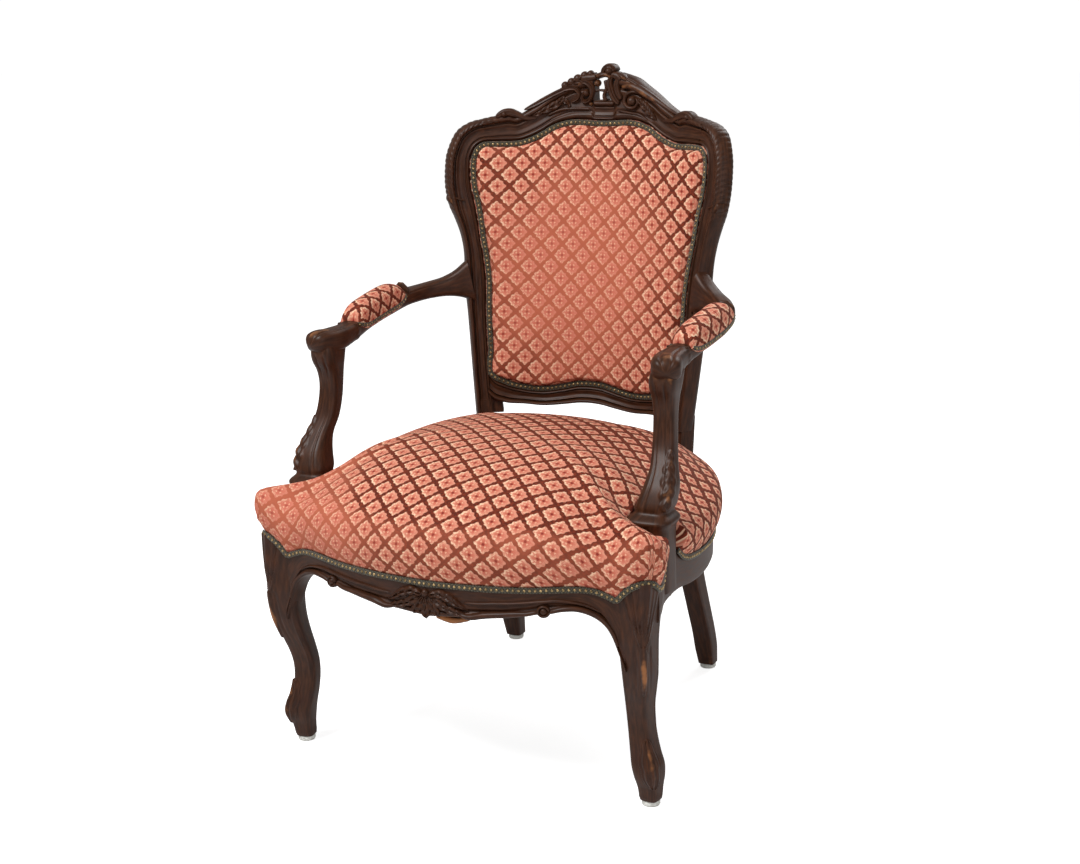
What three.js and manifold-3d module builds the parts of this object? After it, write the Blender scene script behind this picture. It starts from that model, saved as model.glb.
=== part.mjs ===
// Open-arm upholstered chair with a carved show-wood frame and a hollow-curved back.
// Millimetres, +Z up, front of the chair towards -Y, origin on the floor under the middle of the chair.
import * as THREE from 'three';
import { mergeVertices } from 'three/addons/utils/BufferGeometryUtils.js';
import Module from 'manifold-3d';

const wasm = await Module();
wasm.setup();

// Driving dimensions
const overallHeight = 980;
const frontHalfWidth = 300;
const seatDepth = 371;
const backRake = 0.146;
const railTop = 345;
const railBottom = 291;
const seatCrown = 474;
const fitGap = 0.3;

// The back and the rear legs, as shares of the seat's width and depth
const backWidthShare = 0.7633;
const backRadiusShare = 1.1667;
const backPlaceShare = 0.4447;
const rearFootShare = 0.69;
const backHalfWidth = backWidthShare * frontHalfWidth;
const backRadius = backRadiusShare * frontHalfWidth;
const backSeatY = backPlaceShare * seatDepth;
const rearFootY = rearFootShare * seatDepth;
const backDrop = 43.8;

// Glides and feet
const glideRadius = 13;
const glideHeight = 8;

// Back frame
const frameDepth = 28;
const rebateWidth = 14;
const rebateDepth = 7;
const beadProud = 2;
const edgeRound = 4;
const backRound = 9;
const legHalf = 15.5;
const legRound = 4;
const knobRadius = 10;

// Seat rails
const railThickness = 28;
const railRound = 3;

// Soft parts
const coverThickness = 3;
const seatBulge = 13;
const gimpWidth = 9;
const gimpThickness = 2.4;
const backCrown = 17;
const backClothThickness = 1.6;
const clothFoldThickness = 2;

// Hidden upholstery
const webWidth = 45;
const webThickness = 2;
const webInset = 6;
const webSpacingXShare = 0.367;
const webSpacingYShare = 0.31;
const webSpacingX = webSpacingXShare * frontHalfWidth;
const webSpacingY = webSpacingYShare * seatDepth;
const hessianThickness = 2;
const dustThickness = 1.2;
const springTurns = 3;
const springWire = 4;
const springRadius = 30;
const springWaist = 7;

// Arms
const armHalfWidth = 15;
const armHalfHeight = 13;
const padHeight = 19;
const padHalfWidth = 20;

// Corner blocks and their screws
const blockLength = 74;
const blockThickness = 20;
const blockDrop = 6;
const screwHeadRadius = 5;
const screwHeadHeight = 3;
const screwRadius = 2.2;
const screwReach = 34;

const materials = {
  wood: new THREE.MeshStandardMaterial({ color: 0x33201a, roughness: 0.42, metalness: 0 }),
  rawWood: new THREE.MeshStandardMaterial({ color: 0x8a5a33, roughness: 0.7, metalness: 0 }),
  velvet: new THREE.MeshStandardMaterial({ color: 0xc9705a, roughness: 0.85, metalness: 0 }),
  gimp: new THREE.MeshStandardMaterial({ color: 0x4d4a26, roughness: 0.6, metalness: 0 }),
  stuffing: new THREE.MeshStandardMaterial({ color: 0x8d7a5c, roughness: 0.95, metalness: 0 }),
  hessian: new THREE.MeshStandardMaterial({ color: 0x9a7b4f, roughness: 0.95, metalness: 0 }),
  dust: new THREE.MeshStandardMaterial({ color: 0x17161a, roughness: 0.95, metalness: 0 }),
  steel: new THREE.MeshStandardMaterial({ color: 0x8f8f8c, roughness: 0.4, metalness: 0.9 }),
  glide: new THREE.MeshStandardMaterial({ color: 0xb9b7ae, roughness: 0.35, metalness: 0.3 }),
};

// Geometry helpers

function signedVolume(points, faces) {
  return faces.reduce((sum, [a, b, c]) => sum + points[a].dot(points[b].clone().cross(points[c])), 0);
}

function solidGeometry(points, faces) {
  const outward = signedVolume(points, faces) > 0;
  const geometry = new THREE.BufferGeometry();
  geometry.setAttribute('position', new THREE.Float32BufferAttribute(points.flatMap((p) => [p.x, p.y, p.z]), 3));
  geometry.setIndex(faces.flatMap(([a, b, c]) => (outward ? [a, b, c] : [a, c, b])));
  return geometry;
}

// Skins a run of rings that have the same number of points, with a fan over each open end.
function loft(rings, loop = false) {
  const count = rings[0].length;
  const points = rings.flat();
  const faces = [];
  const last = loop ? rings.length : rings.length - 1;
  for (let r = 0; r < last; r += 1) {
    const next = (r + 1) % rings.length;
    for (let i = 0; i < count; i += 1) {
      const j = (i + 1) % count;
      faces.push([r * count + i, r * count + j, next * count + j]);
      faces.push([r * count + i, next * count + j, next * count + i]);
    }
  }
  if (!loop) {
    [[0, true], [rings.length - 1, false]].forEach(([r, flip]) => {
      const middle = rings[r].reduce((sum, p) => sum.add(p), new THREE.Vector3()).divideScalar(count);
      points.push(middle);
      for (let i = 0; i < count; i += 1) {
        const j = (i + 1) % count;
        const [a, b] = flip ? [j, i] : [i, j];
        faces.push([points.length - 1, r * count + a, r * count + b]);
      }
    });
  }
  return solidGeometry(points, faces);
}

function toSolid(geometry) {
  const bare = geometry.clone();
  bare.deleteAttribute('normal');
  bare.deleteAttribute('uv');
  const merged = mergeVertices(bare);
  return new wasm.Manifold(new wasm.Mesh({
    numProp: 3,
    vertProperties: new Float32Array(merged.attributes.position.array),
    triVerts: new Uint32Array(merged.index.array),
  }));
}

function toGeometry(solid) {
  const mesh = solid.getMesh();
  const geometry = new THREE.BufferGeometry();
  geometry.setAttribute('position', new THREE.BufferAttribute(new Float32Array(mesh.vertProperties), 3));
  geometry.setIndex(new THREE.BufferAttribute(new Uint32Array(mesh.triVerts), 1));
  return geometry;
}

// Cuts a piece by its neighbours and keeps its main body, not the slivers beyond them.
function cut(geometry, tools) {
  const rest = tools.reduce((solid, tool) => solid.subtract(toSolid(tool)), toSolid(geometry));
  const bodies = rest.decompose().sort((a, b) => b.volume() - a.volume());
  return toGeometry(bodies[0]);
}

function mirrored(geometry) {
  const copy = geometry.clone();
  copy.scale(-1, 1, 1);
  const index = Array.from(copy.index.array);
  for (let i = 0; i < index.length; i += 3) {
    [index[i + 1], index[i + 2]] = [index[i + 2], index[i + 1]];
  }
  copy.setIndex(index);
  return copy;
}

const chair = new THREE.Group();

function add(name, geometry, material) {
  const shown = geometry.index ? geometry : mergeVertices(geometry);
  shown.computeVertexNormals();
  const mesh = new THREE.Mesh(shown, material);
  mesh.name = name;
  chair.add(mesh);
}

function addPair(name, geometry, material) {
  add(`${name}_right`, geometry, material);
  add(`${name}_left`, mirrored(geometry), material);
}

function smooth(points, steps) {
  const curve = new THREE.CatmullRomCurve3(points, false, 'centripetal');
  return Array.from({ length: steps + 1 }, (_, i) => curve.getPoint(i / steps));
}

function lerp(a, b, t) {
  return a + (b - a) * t;
}

// Piecewise straight reading of a table of [position, value] rows.
function tableValue(rows, at) {
  if (at <= rows[0][0]) return rows[0][1];
  for (let i = 1; i < rows.length; i += 1) {
    if (at <= rows[i][0]) {
      return lerp(rows[i - 1][1], rows[i][1], (at - rows[i - 1][0]) / (rows[i][0] - rows[i - 1][0]));
    }
  }
  return rows[rows.length - 1][1];
}

// Heights on the back: shares of the overall height, kept to the seat at the bottom rail.
const footShare = 0.439;

function backHeight(share) {
  return lerp(seatCrown - backDrop, overallHeight, (share - footShare) / (1 - footShare));
}

// The back: a cylinder about an upright axis in front of the chair, leaning back with height.

function backPoint(x, z, depth) {
  const turn = Math.asin(x / backRadius);
  const middleY = backSeatY + backRake * (z - railTop);
  return new THREE.Vector3(
    (backRadius + depth) * Math.sin(turn),
    middleY - backRadius + (backRadius + depth) * Math.cos(turn),
    z,
  );
}

// Stations of the half frame: outer edge across and up, then reveal edge across and up,
// as shares of the back's half width and of the overall height.
const frameShares = [
  [0.777, 0.439, 0.668, 0.439],
  [0.808, 0.510, 0.712, 0.510],
  [0.847, 0.602, 0.747, 0.602],
  [0.873, 0.653, 0.755, 0.653],
  [0.882, 0.699, 0.777, 0.694],
  [0.904, 0.730, 0.803, 0.727],
  [0.939, 0.757, 0.821, 0.755],
  [0.974, 0.781, 0.838, 0.778],
  [0.996, 0.811, 0.865, 0.806],
  [1.000, 0.842, 0.878, 0.832],
  [0.991, 0.867, 0.878, 0.855],
  [0.952, 0.896, 0.860, 0.870],
  [0.891, 0.910, 0.825, 0.879],
  [0.821, 0.916, 0.782, 0.882],
  [0.668, 0.924, 0.655, 0.882],
  [0.611, 0.921, 0.581, 0.883],
  [0.541, 0.930, 0.511, 0.888],
  [0.463, 0.941, 0.441, 0.896],
  [0.384, 0.955, 0.371, 0.906],
  [0.297, 0.969, 0.288, 0.913],
  [0.201, 0.982, 0.192, 0.916],
  [0.000, 0.992, 0.000, 0.914],
];
const crestJointStation = 13;

function frameStation(index) {
  const [ou, ov, ru, rv] = frameShares[index];
  return {
    outer: new THREE.Vector2(ou * backHalfWidth, backHeight(ov)),
    reveal: new THREE.Vector2(ru * backHalfWidth, backHeight(rv)),
  };
}

const frameSectionShares = [
  // across the face from the reveal edge, depth in beads behind the front
  [0.00, 1], [0.20, 0], [0.42, 1], [0.72, -1], [0.90, 1],
];

// Moulded section: across from the hidden inner edge to the outer edge, and depth from the front.
function frameRing(station) {
  const { outer, reveal } = station;
  const away = outer.clone().sub(reveal);
  const face = away.length();
  const along = away.clone().normalize();
  const start = reveal.clone().addScaledVector(along, -rebateWidth);
  const width = face + rebateWidth;
  const section = [
    [0, rebateDepth],
    [rebateWidth, rebateDepth],
    ...frameSectionShares.map(([a, d]) => [rebateWidth + face * a, beadProud * d]),
    [width, rebateDepth],
    [width, frameDepth - backRound],
    [width - backRound, frameDepth],
    [edgeRound, frameDepth],
    [0, frameDepth - edgeRound],
  ];
  return section.map(([a, d]) => {
    const p = start.clone().addScaledVector(along, a);
    return backPoint(p.x, p.y, d);
  });
}

// Rear leg below the seat: plain square section, raked back, with the same number of points.
const rearLegShares = [
  // height, across, back, as shares of the rail top, the back's half width and the rear foot's place
  [0.025, 0.777, 1.000],
  [0.180, 0.773, 0.938],
  [0.350, 0.764, 0.844],
  [0.520, 0.755, 0.750],
  [0.700, 0.747, 0.676],
  [0.850, 0.740, 0.631],
  [1.000, 0.733, 0.605],
];

function squareRing(centre, half, round, turn, grow = 0) {
  const h = half + grow;
  const flat = h - round;
  const corners = [
    [-h, -flat], [-flat, -h], [-flat / 2, -h], [0, -h], [flat / 4, -h], [flat / 2, -h], [flat, -h],
    [h, -flat], [h, flat], [flat, h], [-flat, h], [-h, flat],
  ];
  const across = new THREE.Vector3(Math.cos(turn), -Math.sin(turn), 0);
  const depth = new THREE.Vector3(Math.sin(turn), Math.cos(turn), 0);
  return corners.map(([a, d]) => centre.clone().addScaledVector(across, a).addScaledVector(depth, d));
}

const stileTurn = Math.asin(frameShares[0][0] * backHalfWidth / backRadius);

function rearLegRings(grow = 0) {
  return rearLegShares.map(([up, across, back]) => {
    const z = up === rearLegShares[0][0] ? glideHeight + fitGap : up * railTop;
    const centre = new THREE.Vector3(across * backHalfWidth, back * rearFootY, z);
    return squareRing(centre, legHalf, legRound, stileTurn * up * up, grow);
  });
}

const stileRings = [
  ...rearLegRings(),
  ...Array.from({ length: crestJointStation + 1 }, (_, i) => frameRing(frameStation(i))),
];
const stile = loft(stileRings);

function grownRings(rings, grow) {
  return rings.map((ring) => {
    const middle = ring.reduce((sum, p) => sum.add(p), new THREE.Vector3()).divideScalar(ring.length);
    return ring.map((p) => {
      const away = p.clone().sub(middle);
      return middle.clone().addScaledVector(away, (away.length() + grow) / away.length());
    });
  });
}

const stileGrown = loft(grownRings(stileRings, 2 * fitGap));

// Crest rail, from one shoulder joint to the other, with a small knob on top.
function crestRings() {
  const rings = [];
  for (let i = crestJointStation; i < frameShares.length; i += 1) rings.push(frameRing(frameStation(i)));
  const reach = rings[0][0].distanceTo(rings[1][0]);
  rings[0] = rings[0].map((p, i) => p.clone().lerp(rings[1][i], 2 * fitGap / reach));
  const other = rings.slice(0, -1).reverse().map((ring) => ring.map((p) => new THREE.Vector3(-p.x, p.y, p.z)));
  return [...rings, ...other];
}
const knobCentre = backPoint(knobRadius, overallHeight - knobRadius, frameDepth / 2);
const knob = new THREE.SphereGeometry(knobRadius, 10, 8);
knob.translate(knobCentre.x, knobCentre.y, knobCentre.z);
const crest = toGeometry(toSolid(loft(crestRings())).add(toSolid(knob)));

// Bottom rail of the back: lower edge nearly level, upper edge with a low centre wave.
const bottomRailShares = [
  // across, height of the reveal edge and of the lower edge
  [0.71, 0.506, 0.470],
  [0.68, 0.496, 0.462],
  [0.60, 0.485, 0.455],
  [0.47, 0.477, 0.453],
  [0.34, 0.475, 0.451],
  [0.20, 0.480, 0.454],
  [0.08, 0.486, 0.458],
  [0.00, 0.487, 0.459],
];

const bottomSectionShares = [
  // down the face from the reveal edge, depth in beads behind the front
  [0.00, 1], [0.30, 0], [0.50, 1], [0.85, -1],
];

function bottomRailRing(across, revealShare, lowShare) {
  const x = across * backHalfWidth;
  const top = backHeight(revealShare);
  const low = backHeight(lowShare);
  const face = top - low;
  const section = [
    [top + rebateWidth, rebateDepth],
    [top, rebateDepth],
    ...bottomSectionShares.map(([a, d]) => [top - face * a, beadProud * d]),
    [low, rebateDepth],
    [low, frameDepth - edgeRound],
    [low + edgeRound, frameDepth],
    [top + rebateWidth, frameDepth],
  ];
  return section.map(([z, d]) => backPoint(x, z, d));
}

const bottomHalf = bottomRailShares.map(([a, t, l]) => bottomRailRing(a, t, l));
const bottomOther = bottomHalf.slice(0, -1).reverse().map((r) => r.map((p) => new THREE.Vector3(-p.x, p.y, p.z)));
const stilePairGrown = [stileGrown, mirrored(stileGrown)];
const bottomRail = cut(loft([...bottomHalf, ...bottomOther]), stilePairGrown);

// Front legs: square section whose front outer corner is the ridge of the knee.
const frontLegShares = [
  // height as a share of the rail top, across of the front half width, forward of the seat depth, half size of the knee
  [0.024, 0.933, 0.691, 0.435],
  [0.087, 0.935, 0.700, 0.500],
  [0.133, 0.935, 0.709, 0.590],
  [0.180, 0.930, 0.712, 0.632],
  [0.232, 0.915, 0.706, 0.587],
  [0.304, 0.900, 0.702, 0.542],
  [0.377, 0.895, 0.709, 0.535],
  [0.449, 0.900, 0.728, 0.558],
  [0.522, 0.912, 0.752, 0.619],
  [0.594, 0.922, 0.772, 0.677],
  [0.667, 0.925, 0.784, 0.719],
  [0.739, 0.923, 0.787, 0.768],
  [0.812, 0.920, 0.779, 0.839],
  [0.884, 0.922, 0.772, 0.935],
  [0.950, 0.923, 0.767, 1.000],
  [0.956, 0.910, 0.740, 0.870],
  [1.000, 0.910, 0.740, 0.870],
];
const kneeHalf = 31;
const kneeRoundShare = 0.3;

function frontLegRings(grow = 0) {
  return frontLegShares.map(([up, across, forward, size], i) => {
    const z = i === 0 ? glideHeight + fitGap : up * railTop;
    const centre = new THREE.Vector3(across * frontHalfWidth, -forward * seatDepth, z);
    const half = size * kneeHalf;
    return squareRing(centre, half, half * kneeRoundShare, 0, grow);
  });
}
const frontLegUncut = loft(frontLegRings());
const frontLegGrown = loft(frontLegRings(2 * fitGap));

// Seat plan: outer face of the rails, right half, from the front middle to the rear middle,
// as shares of the front half width and of the seat depth.
const planShares = [
  [0.000, -1.000],
  [0.130, -0.995],
  [0.260, -0.983],
  [0.390, -0.962],
  [0.520, -0.934],
  [0.640, -0.900],
  [0.760, -0.862],
  [0.860, -0.853],
  [0.960, -0.854],
  [1.024, -0.851],
  [1.036, -0.795],
  [1.020, -0.700],
  [0.995, -0.600],
  [0.980, -0.490],
  [0.977, -0.370],
  [0.970, -0.240],
  [0.950, -0.110],
  [0.908, 0.030],
  [0.833, 0.175],
  [0.733, 0.305],
  [0.610, 0.400],
];

function planPoint(index) {
  const [a, b] = planShares[index];
  return new THREE.Vector2(a * frontHalfWidth, b * seatDepth);
}
const frontStations = [0, 1, 2, 3, 4, 5, 6];
const sideStations = [10, 11, 12, 13, 14, 15, 16, 17, 18, 19, 20];

// Heights along the front rail: lower edge and the line where the cloth ends.
const frontLowShares = [
  [0.00, 0.788], [0.13, 0.797], [0.26, 0.804], [0.39, 0.812], [0.52, 0.829],
  [0.60, 0.843], [0.70, 0.840], [0.78, 0.818], [0.85, 0.770],
];
const frontGimpShares = [
  [0.00, 0.913], [0.20, 0.916], [0.37, 0.922], [0.50, 0.936], [0.60, 0.939],
  [0.69, 0.928], [0.77, 0.907], [0.84, 0.893], [0.86, 0.930], [0.95, 0.959], [1.03, 0.959],
];
const sideGimpShare = 0.915;
const sideLowShares = [[-0.80, 0.800], [-0.70, 0.846], [-0.60, 0.846], [0.40, 0.846]];

function outward(previous, next) {
  const run = next.clone().sub(previous).normalize();
  return new THREE.Vector2(run.y, -run.x);
}

function railRing(point, normal, low, gimpLine) {
  const inset = (distance) => point.clone().addScaledVector(normal, -distance);
  const rebate = coverThickness + 3 * fitGap;
  const section = [
    [railRound, low],
    [0, low + railRound],
    [0, lerp(low, gimpLine, 0.5)],
    [0, gimpLine - fitGap],
    [rebate, gimpLine - fitGap],
    [rebate, railTop],
    [railThickness, railTop],
    [railThickness, low],
  ];
  return section.map(([d, z]) => {
    const p = inset(d);
    return new THREE.Vector3(p.x, p.y, z);
  });
}

function flipX(v) {
  return new THREE.Vector2(-v.x, v.y);
}

// The front rail ends inside the legs.
const frontEndShares = [0.845, -0.846];

function frontRailRings() {
  const rows = [...planShares.slice(0, frontStations.length), frontEndShares];
  const at = rows.map(([a, b]) => new THREE.Vector2(a * frontHalfWidth, b * seatDepth));
  const half = at.map((p, s) => {
    const before = s === 0 ? flipX(at[1]) : at[s - 1];
    const after = s === at.length - 1 ? p : at[s + 1];
    const low = tableValue(frontLowShares, rows[s][0]) * railTop;
    const line = tableValue(frontGimpShares, rows[s][0]) * railTop;
    return railRing(p, outward(before, after), low, line);
  });
  const other = half.slice(1).reverse().map((r) => r.map((p) => new THREE.Vector3(-p.x, p.y, p.z)));
  return [...other, ...half];
}
const legPairGrown = [frontLegGrown, mirrored(frontLegGrown)];
const frontRail = cut(loft(frontRailRings()), legPairGrown);

function sideRailRings() {
  return sideStations.map((s) => {
    const after = s === planShares.length - 1 ? planPoint(s) : planPoint(s + 1);
    const low = tableValue(sideLowShares, planShares[s][1]) * railTop;
    return railRing(planPoint(s), outward(planPoint(s - 1), after), low, sideGimpShare * railTop);
  });
}
const sideRail = cut(loft(sideRailRings()), [frontLegGrown, stileGrown]);

// Rear rail, on the back's curve between the two rear legs.
const rearRailShares = [-0.70, -0.50, -0.25, 0, 0.25, 0.50, 0.70];
const rearRailDepth = 30;

function rearRailRing(x) {
  const rebate = coverThickness + 3 * fitGap;
  const section = [
    [0, railBottom], [0, railTop], [rearRailDepth - rebate, railTop],
    [rearRailDepth - rebate, sideGimpShare * railTop - fitGap], [rearRailDepth, sideGimpShare * railTop - fitGap],
    [rearRailDepth, railBottom],
  ];
  return section.map(([d, z]) => {
    const p = backPoint(x, railTop, d);
    return new THREE.Vector3(p.x, p.y, z);
  });
}
const rearRail = cut(loft(rearRailShares.map((s) => rearRailRing(s * backHalfWidth))), stilePairGrown);

// Arm supports: rise from the side rail, sweep back, then forward again under the arm.
const supportShares = [
  // height between the rail top and the arm, across of the front half width, forward of the seat depth, half size
  [0.00, 0.888, 0.583, 0.980],
  [0.05, 0.888, 0.583, 1.000],
  [0.09, 0.892, 0.578, 0.900],
  [0.18, 0.905, 0.566, 0.940],
  [0.28, 0.918, 0.560, 0.920],
  [0.38, 0.922, 0.550, 0.860],
  [0.48, 0.912, 0.515, 0.740],
  [0.58, 0.897, 0.474, 0.650],
  [0.70, 0.888, 0.450, 0.620],
  [0.82, 0.886, 0.443, 0.640],
  [0.92, 0.888, 0.446, 0.720],
  [1.00, 0.893, 0.454, 0.780],
];
const supportHalf = 24;
const supportTopShare = 0.598;
const supportTop = backHeight(supportTopShare);
const supportRoundShare = 0.4;

function supportRings(grow = 0) {
  return supportShares.map(([up, across, forward, size]) => {
    const z = lerp(railTop + fitGap, supportTop, up) + (up === 0 ? -grow : 0) + (up === 1 ? grow : 0);
    const centre = new THREE.Vector3(across * frontHalfWidth, -forward * seatDepth, z);
    const half = size * supportHalf;
    return squareRing(centre, half, half * supportRoundShare, 0, grow);
  });
}
const supportUncut = loft(supportRings());
const supportGrown = loft(supportRings(2 * fitGap));

// Arms: from the knuckle over the support, bowing outwards, to the side of the back.
const armPathShares = [
  // across of the front half width, along of the seat depth, height of the overall height
  [0.930, -0.532, 0.604],
  [0.915, -0.500, 0.608],
  [0.890, -0.440, 0.609],
  [0.880, -0.350, 0.612],
  [0.897, -0.180, 0.622],
  [0.907, 0.010, 0.632],
  [0.893, 0.180, 0.640],
  [0.835, 0.290, 0.645],
  [0.755, 0.360, 0.650],
  [0.680, 0.405, 0.656],
];
const armSteps = 20;
const armPath = smooth(
  armPathShares.map(([a, b, c]) => new THREE.Vector3(a * frontHalfWidth, b * seatDepth, backHeight(c))),
  armSteps,
);
// Size of the arm's section along its length: half width and half height.
const armSizeShares = [
  [0.00, 0.75, 0.65], [0.06, 1.25, 1.15], [0.14, 1.35, 1.20], [0.22, 1.10, 1.00], [0.35, 1.05, 0.95],
  [0.60, 1.05, 0.95], [0.74, 0.95, 0.95], [0.86, 0.85, 1.00], [1.00, 1.00, 1.60],
];

function armFrame(index) {
  const before = armPath[Math.max(index - 1, 0)];
  const after = armPath[Math.min(index + 1, armPath.length - 1)];
  const run = after.clone().sub(before).setZ(0).normalize();
  return { centre: armPath[index], across: new THREE.Vector3(run.y, -run.x, 0) };
}

const armSectionShares = [
  // across of the half width, up of the half height
  [-1, -0.5], [-1, 0.5], [-0.7, 1], [0.7, 1], [1, 0.5], [1, -0.5], [0.55, -0.95], [0, -1], [-0.55, -0.95],
];

function armRing(index, grow = 0) {
  const t = index / armSteps;
  const { centre, across } = armFrame(index);
  const w = armHalfWidth * tableValue(armSizeShares.map(([s, a]) => [s, a]), t) + grow;
  const h = armHalfHeight * tableValue(armSizeShares.map(([s, , b]) => [s, b]), t) + grow;
  return armSectionShares.map(([a, up]) => {
    const p = centre.clone().addScaledVector(across, a * w);
    return p.setZ(p.z + up * h);
  });
}
const armRings = Array.from({ length: armSteps + 1 }, (_, i) => armRing(i));
const arm = cut(loft(armRings), [stileGrown, supportGrown]);
const armGrown = loft(Array.from({ length: armSteps + 1 }, (_, i) => armRing(i, fitGap)));

// Arm pads: crowned, lying on the arm between the collar and the small rear scroll.
const padStart = 5;
const padEnd = 13;

const padEndShare = 0.72;
const padSwellShare = 0.12;
const padFloorShare = 0.95;
const padFloor = armHalfHeight * padFloorShare + fitGap;
const padSectionShares = [
  // across of the half width and up of the height, half of the crowned section above its base
  [1.00, 0.30], [0.86, 0.65], [0.50, 0.93],
];
const padBaseShare = 0.8;

function padSwell(t) {
  return Math.sqrt(Math.max(1 - (2 * t - 1) ** 6, padSwellShare));
}

function padRing(index, inset, base) {
  const t = (index - padStart) / (padEnd - padStart);
  const { centre, across } = armFrame(index);
  const w = padHalfWidth * lerp(padEndShare, 1, padSwell(t)) - inset;
  const h = padHeight * padSwell(t) - inset;
  const half = padSectionShares.map(([a, up]) => [w * a, h * up]);
  const otherHalf = half.map(([a, up]) => [-a, up]);
  const section = [
    [-w * padBaseShare, base], ...otherHalf, [0, h], ...half.slice().reverse(), [w * padBaseShare, base],
  ];
  return section.map(([a, up]) => {
    const p = centre.clone().addScaledVector(across, a);
    return p.setZ(p.z + padFloor + up);
  });
}

function padLoft(inset, base, trim) {
  const rings = [];
  for (let i = padStart; i <= padEnd; i += 1) rings.push(padRing(i, inset, base));
  const nudge = (ring, toward) => {
    const reach = ring[0].distanceTo(toward[0]);
    return ring.map((p, i) => p.clone().lerp(toward[i], trim / reach));
  };
  const count = rings.length;
  rings[0] = nudge(rings[0], rings[1]);
  rings[count - 1] = nudge(rings[count - 1], rings[count - 2]);
  return loft(rings);
}
const padCover = cut(
  cut(padLoft(0, fitGap, 0), [padLoft(coverThickness, -coverThickness, coverThickness)]),
  [armGrown],
);
const padStuffing = cut(
  padLoft(coverThickness + fitGap, fitGap, coverThickness + fitGap),
  [armGrown],
);

// Braid round the foot of the pad: an upright band just outside the cloth.
const braidHeight = 5;
function armBraid() {
  const bandRing = (index, side) => {
    const t = (index - padStart) / (padEnd - padStart);
    const { centre, across } = armFrame(index);
    const w = padHalfWidth * lerp(padEndShare, 1, padSwell(t)) + fitGap;
    const end = (index === padEnd ? 1 : 0) - (index === padStart ? 1 : 0);
    const along = new THREE.Vector3(-across.y, across.x, 0).multiplyScalar(end);
    const section = [[0, 0], [0, braidHeight], [gimpThickness, braidHeight], [gimpThickness, 0]];
    return section.map(([out, up]) => {
      const p = centre.clone().addScaledVector(across, (w + out) * side).addScaledVector(along, fitGap + out);
      return p.setZ(p.z + padFloor + up);
    });
  };
  const rings = [];
  for (let i = padStart; i <= padEnd; i += 1) rings.push(bandRing(i, 1));
  for (let i = padEnd; i >= padStart; i -= 1) rings.push(bandRing(i, -1));
  return cut(loft(rings, true), [armGrown]);
}

// Domes over an outline: rings that step in from the outline and rise, used by seat and back.

function outlineNormals(outline) {
  return outline.map((_, i) => {
    const before = outline[(i + outline.length - 1) % outline.length];
    const after = outline[(i + 1) % outline.length];
    return outward(before, after);
  });
}

function domeRings(outline, centre, profile, place) {
  const normals = outlineNormals(outline);
  return profile.map(([offset, share, height]) => outline.map((p, i) => {
    const moved = p.clone().addScaledVector(normals[i], offset);
    return place(centre.clone().lerp(moved, share), height, share);
  }));
}

// Seat outline round the rails, closed across the back.
const planRightPoints = planShares.map((_, i) => planPoint(i));
const rearOutlineShares = [0.70, 0.50, 0.25, 0];
const rearOutline = rearOutlineShares.map((s) => {
  const p = backPoint(s * backHalfWidth, railTop, rearRailDepth);
  return new THREE.Vector2(p.x, p.y);
});
const seatHalfOutline = [...planRightPoints, ...rearOutline];
const seatOutline = [
  ...seatHalfOutline,
  ...seatHalfOutline.slice(1, -1).reverse().map(flipX),
];
const seatCentreShare = 0.28;
const seatCentre = new THREE.Vector2(0, -seatCentreShare * seatDepth);

const frontBandShare = 0.76;

function gimpHeight(p) {
  const across = Math.abs(p.x) / frontHalfWidth;
  if (p.y < -frontBandShare * seatDepth) return tableValue(frontGimpShares, across) * railTop;
  return sideGimpShare * railTop;
}

// Cloth height: from the gimp line at the edge to the crown; lower beside the arm supports and at the corners.
const supportDip = 16;
const supportDipReach = 55;
const supportCentre = new THREE.Vector2(supportShares[1][1] * frontHalfWidth, -supportShares[1][2] * seatDepth);
const cornerDip = 24;
const cornerDipReach = 85;
const cornerCentre = planPoint(9);

function dipAt(p, centre, depth, reach) {
  const near = new THREE.Vector2(Math.abs(p.x), p.y).distanceTo(centre) / reach;
  return depth * Math.exp(-near * near);
}

function seatPlace(inset) {
  return (p, height, share) => {
    const dips = dipAt(p, supportCentre, supportDip, supportDipReach) + dipAt(p, cornerCentre, cornerDip, cornerDipReach);
    const dip = dips * Math.min(height * 2, 1);
    const foot = share > 0.99 ? gimpHeight(p) : sideGimpShare * railTop;
    return new THREE.Vector3(p.x, p.y, lerp(foot, seatCrown, height) - dip - inset * Math.min(height * 4, 1));
  };
}

const seatProfile = [
  // outward step as a share of the bulge, share of the way out from the middle, height share
  [0.00, 1.00, 0.00],
  [0.75, 1.00, 0.15],
  [1.00, 1.00, 0.31],
  [0.45, 1.00, 0.46],
  [0.00, 0.94, 0.57],
  [0.00, 0.80, 0.74],
  [0.00, 0.58, 0.89],
  [0.00, 0.28, 0.98],
];

function seatRings(inset) {
  const profile = seatProfile.map(([step, share, height]) => [step * seatBulge - inset, share, height]);
  return domeRings(seatOutline, seatCentre, profile, seatPlace(inset));
}

// The ring where a stack of dome rings passes a level.
function ringAtLevel(rings, level) {
  return rings[0].map((_, i) => {
    const above = Math.max(rings.findIndex((ring) => ring[i].z > level), 1);
    const p = rings[above - 1][i];
    const q = rings[above][i];
    return p.clone().lerp(q, (level - p.z) / (q.z - p.z));
  });
}

// Closes a stack of dome rings with a centre point over the last ring.
function domeFaces(rings, start, apex) {
  const count = rings[0].length;
  const faces = [];
  for (let r = 0; r < rings.length - 1; r += 1) {
    for (let i = 0; i < count; i += 1) {
      const j = (i + 1) % count;
      const a = start + r * count;
      faces.push([a + i, a + j, a + count + j]);
      faces.push([a + i, a + count + j, a + count + i]);
    }
  }
  const top = start + (rings.length - 1) * count;
  for (let i = 0; i < count; i += 1) faces.push([top + i, top + ((i + 1) % count), apex]);
  return faces;
}

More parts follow.
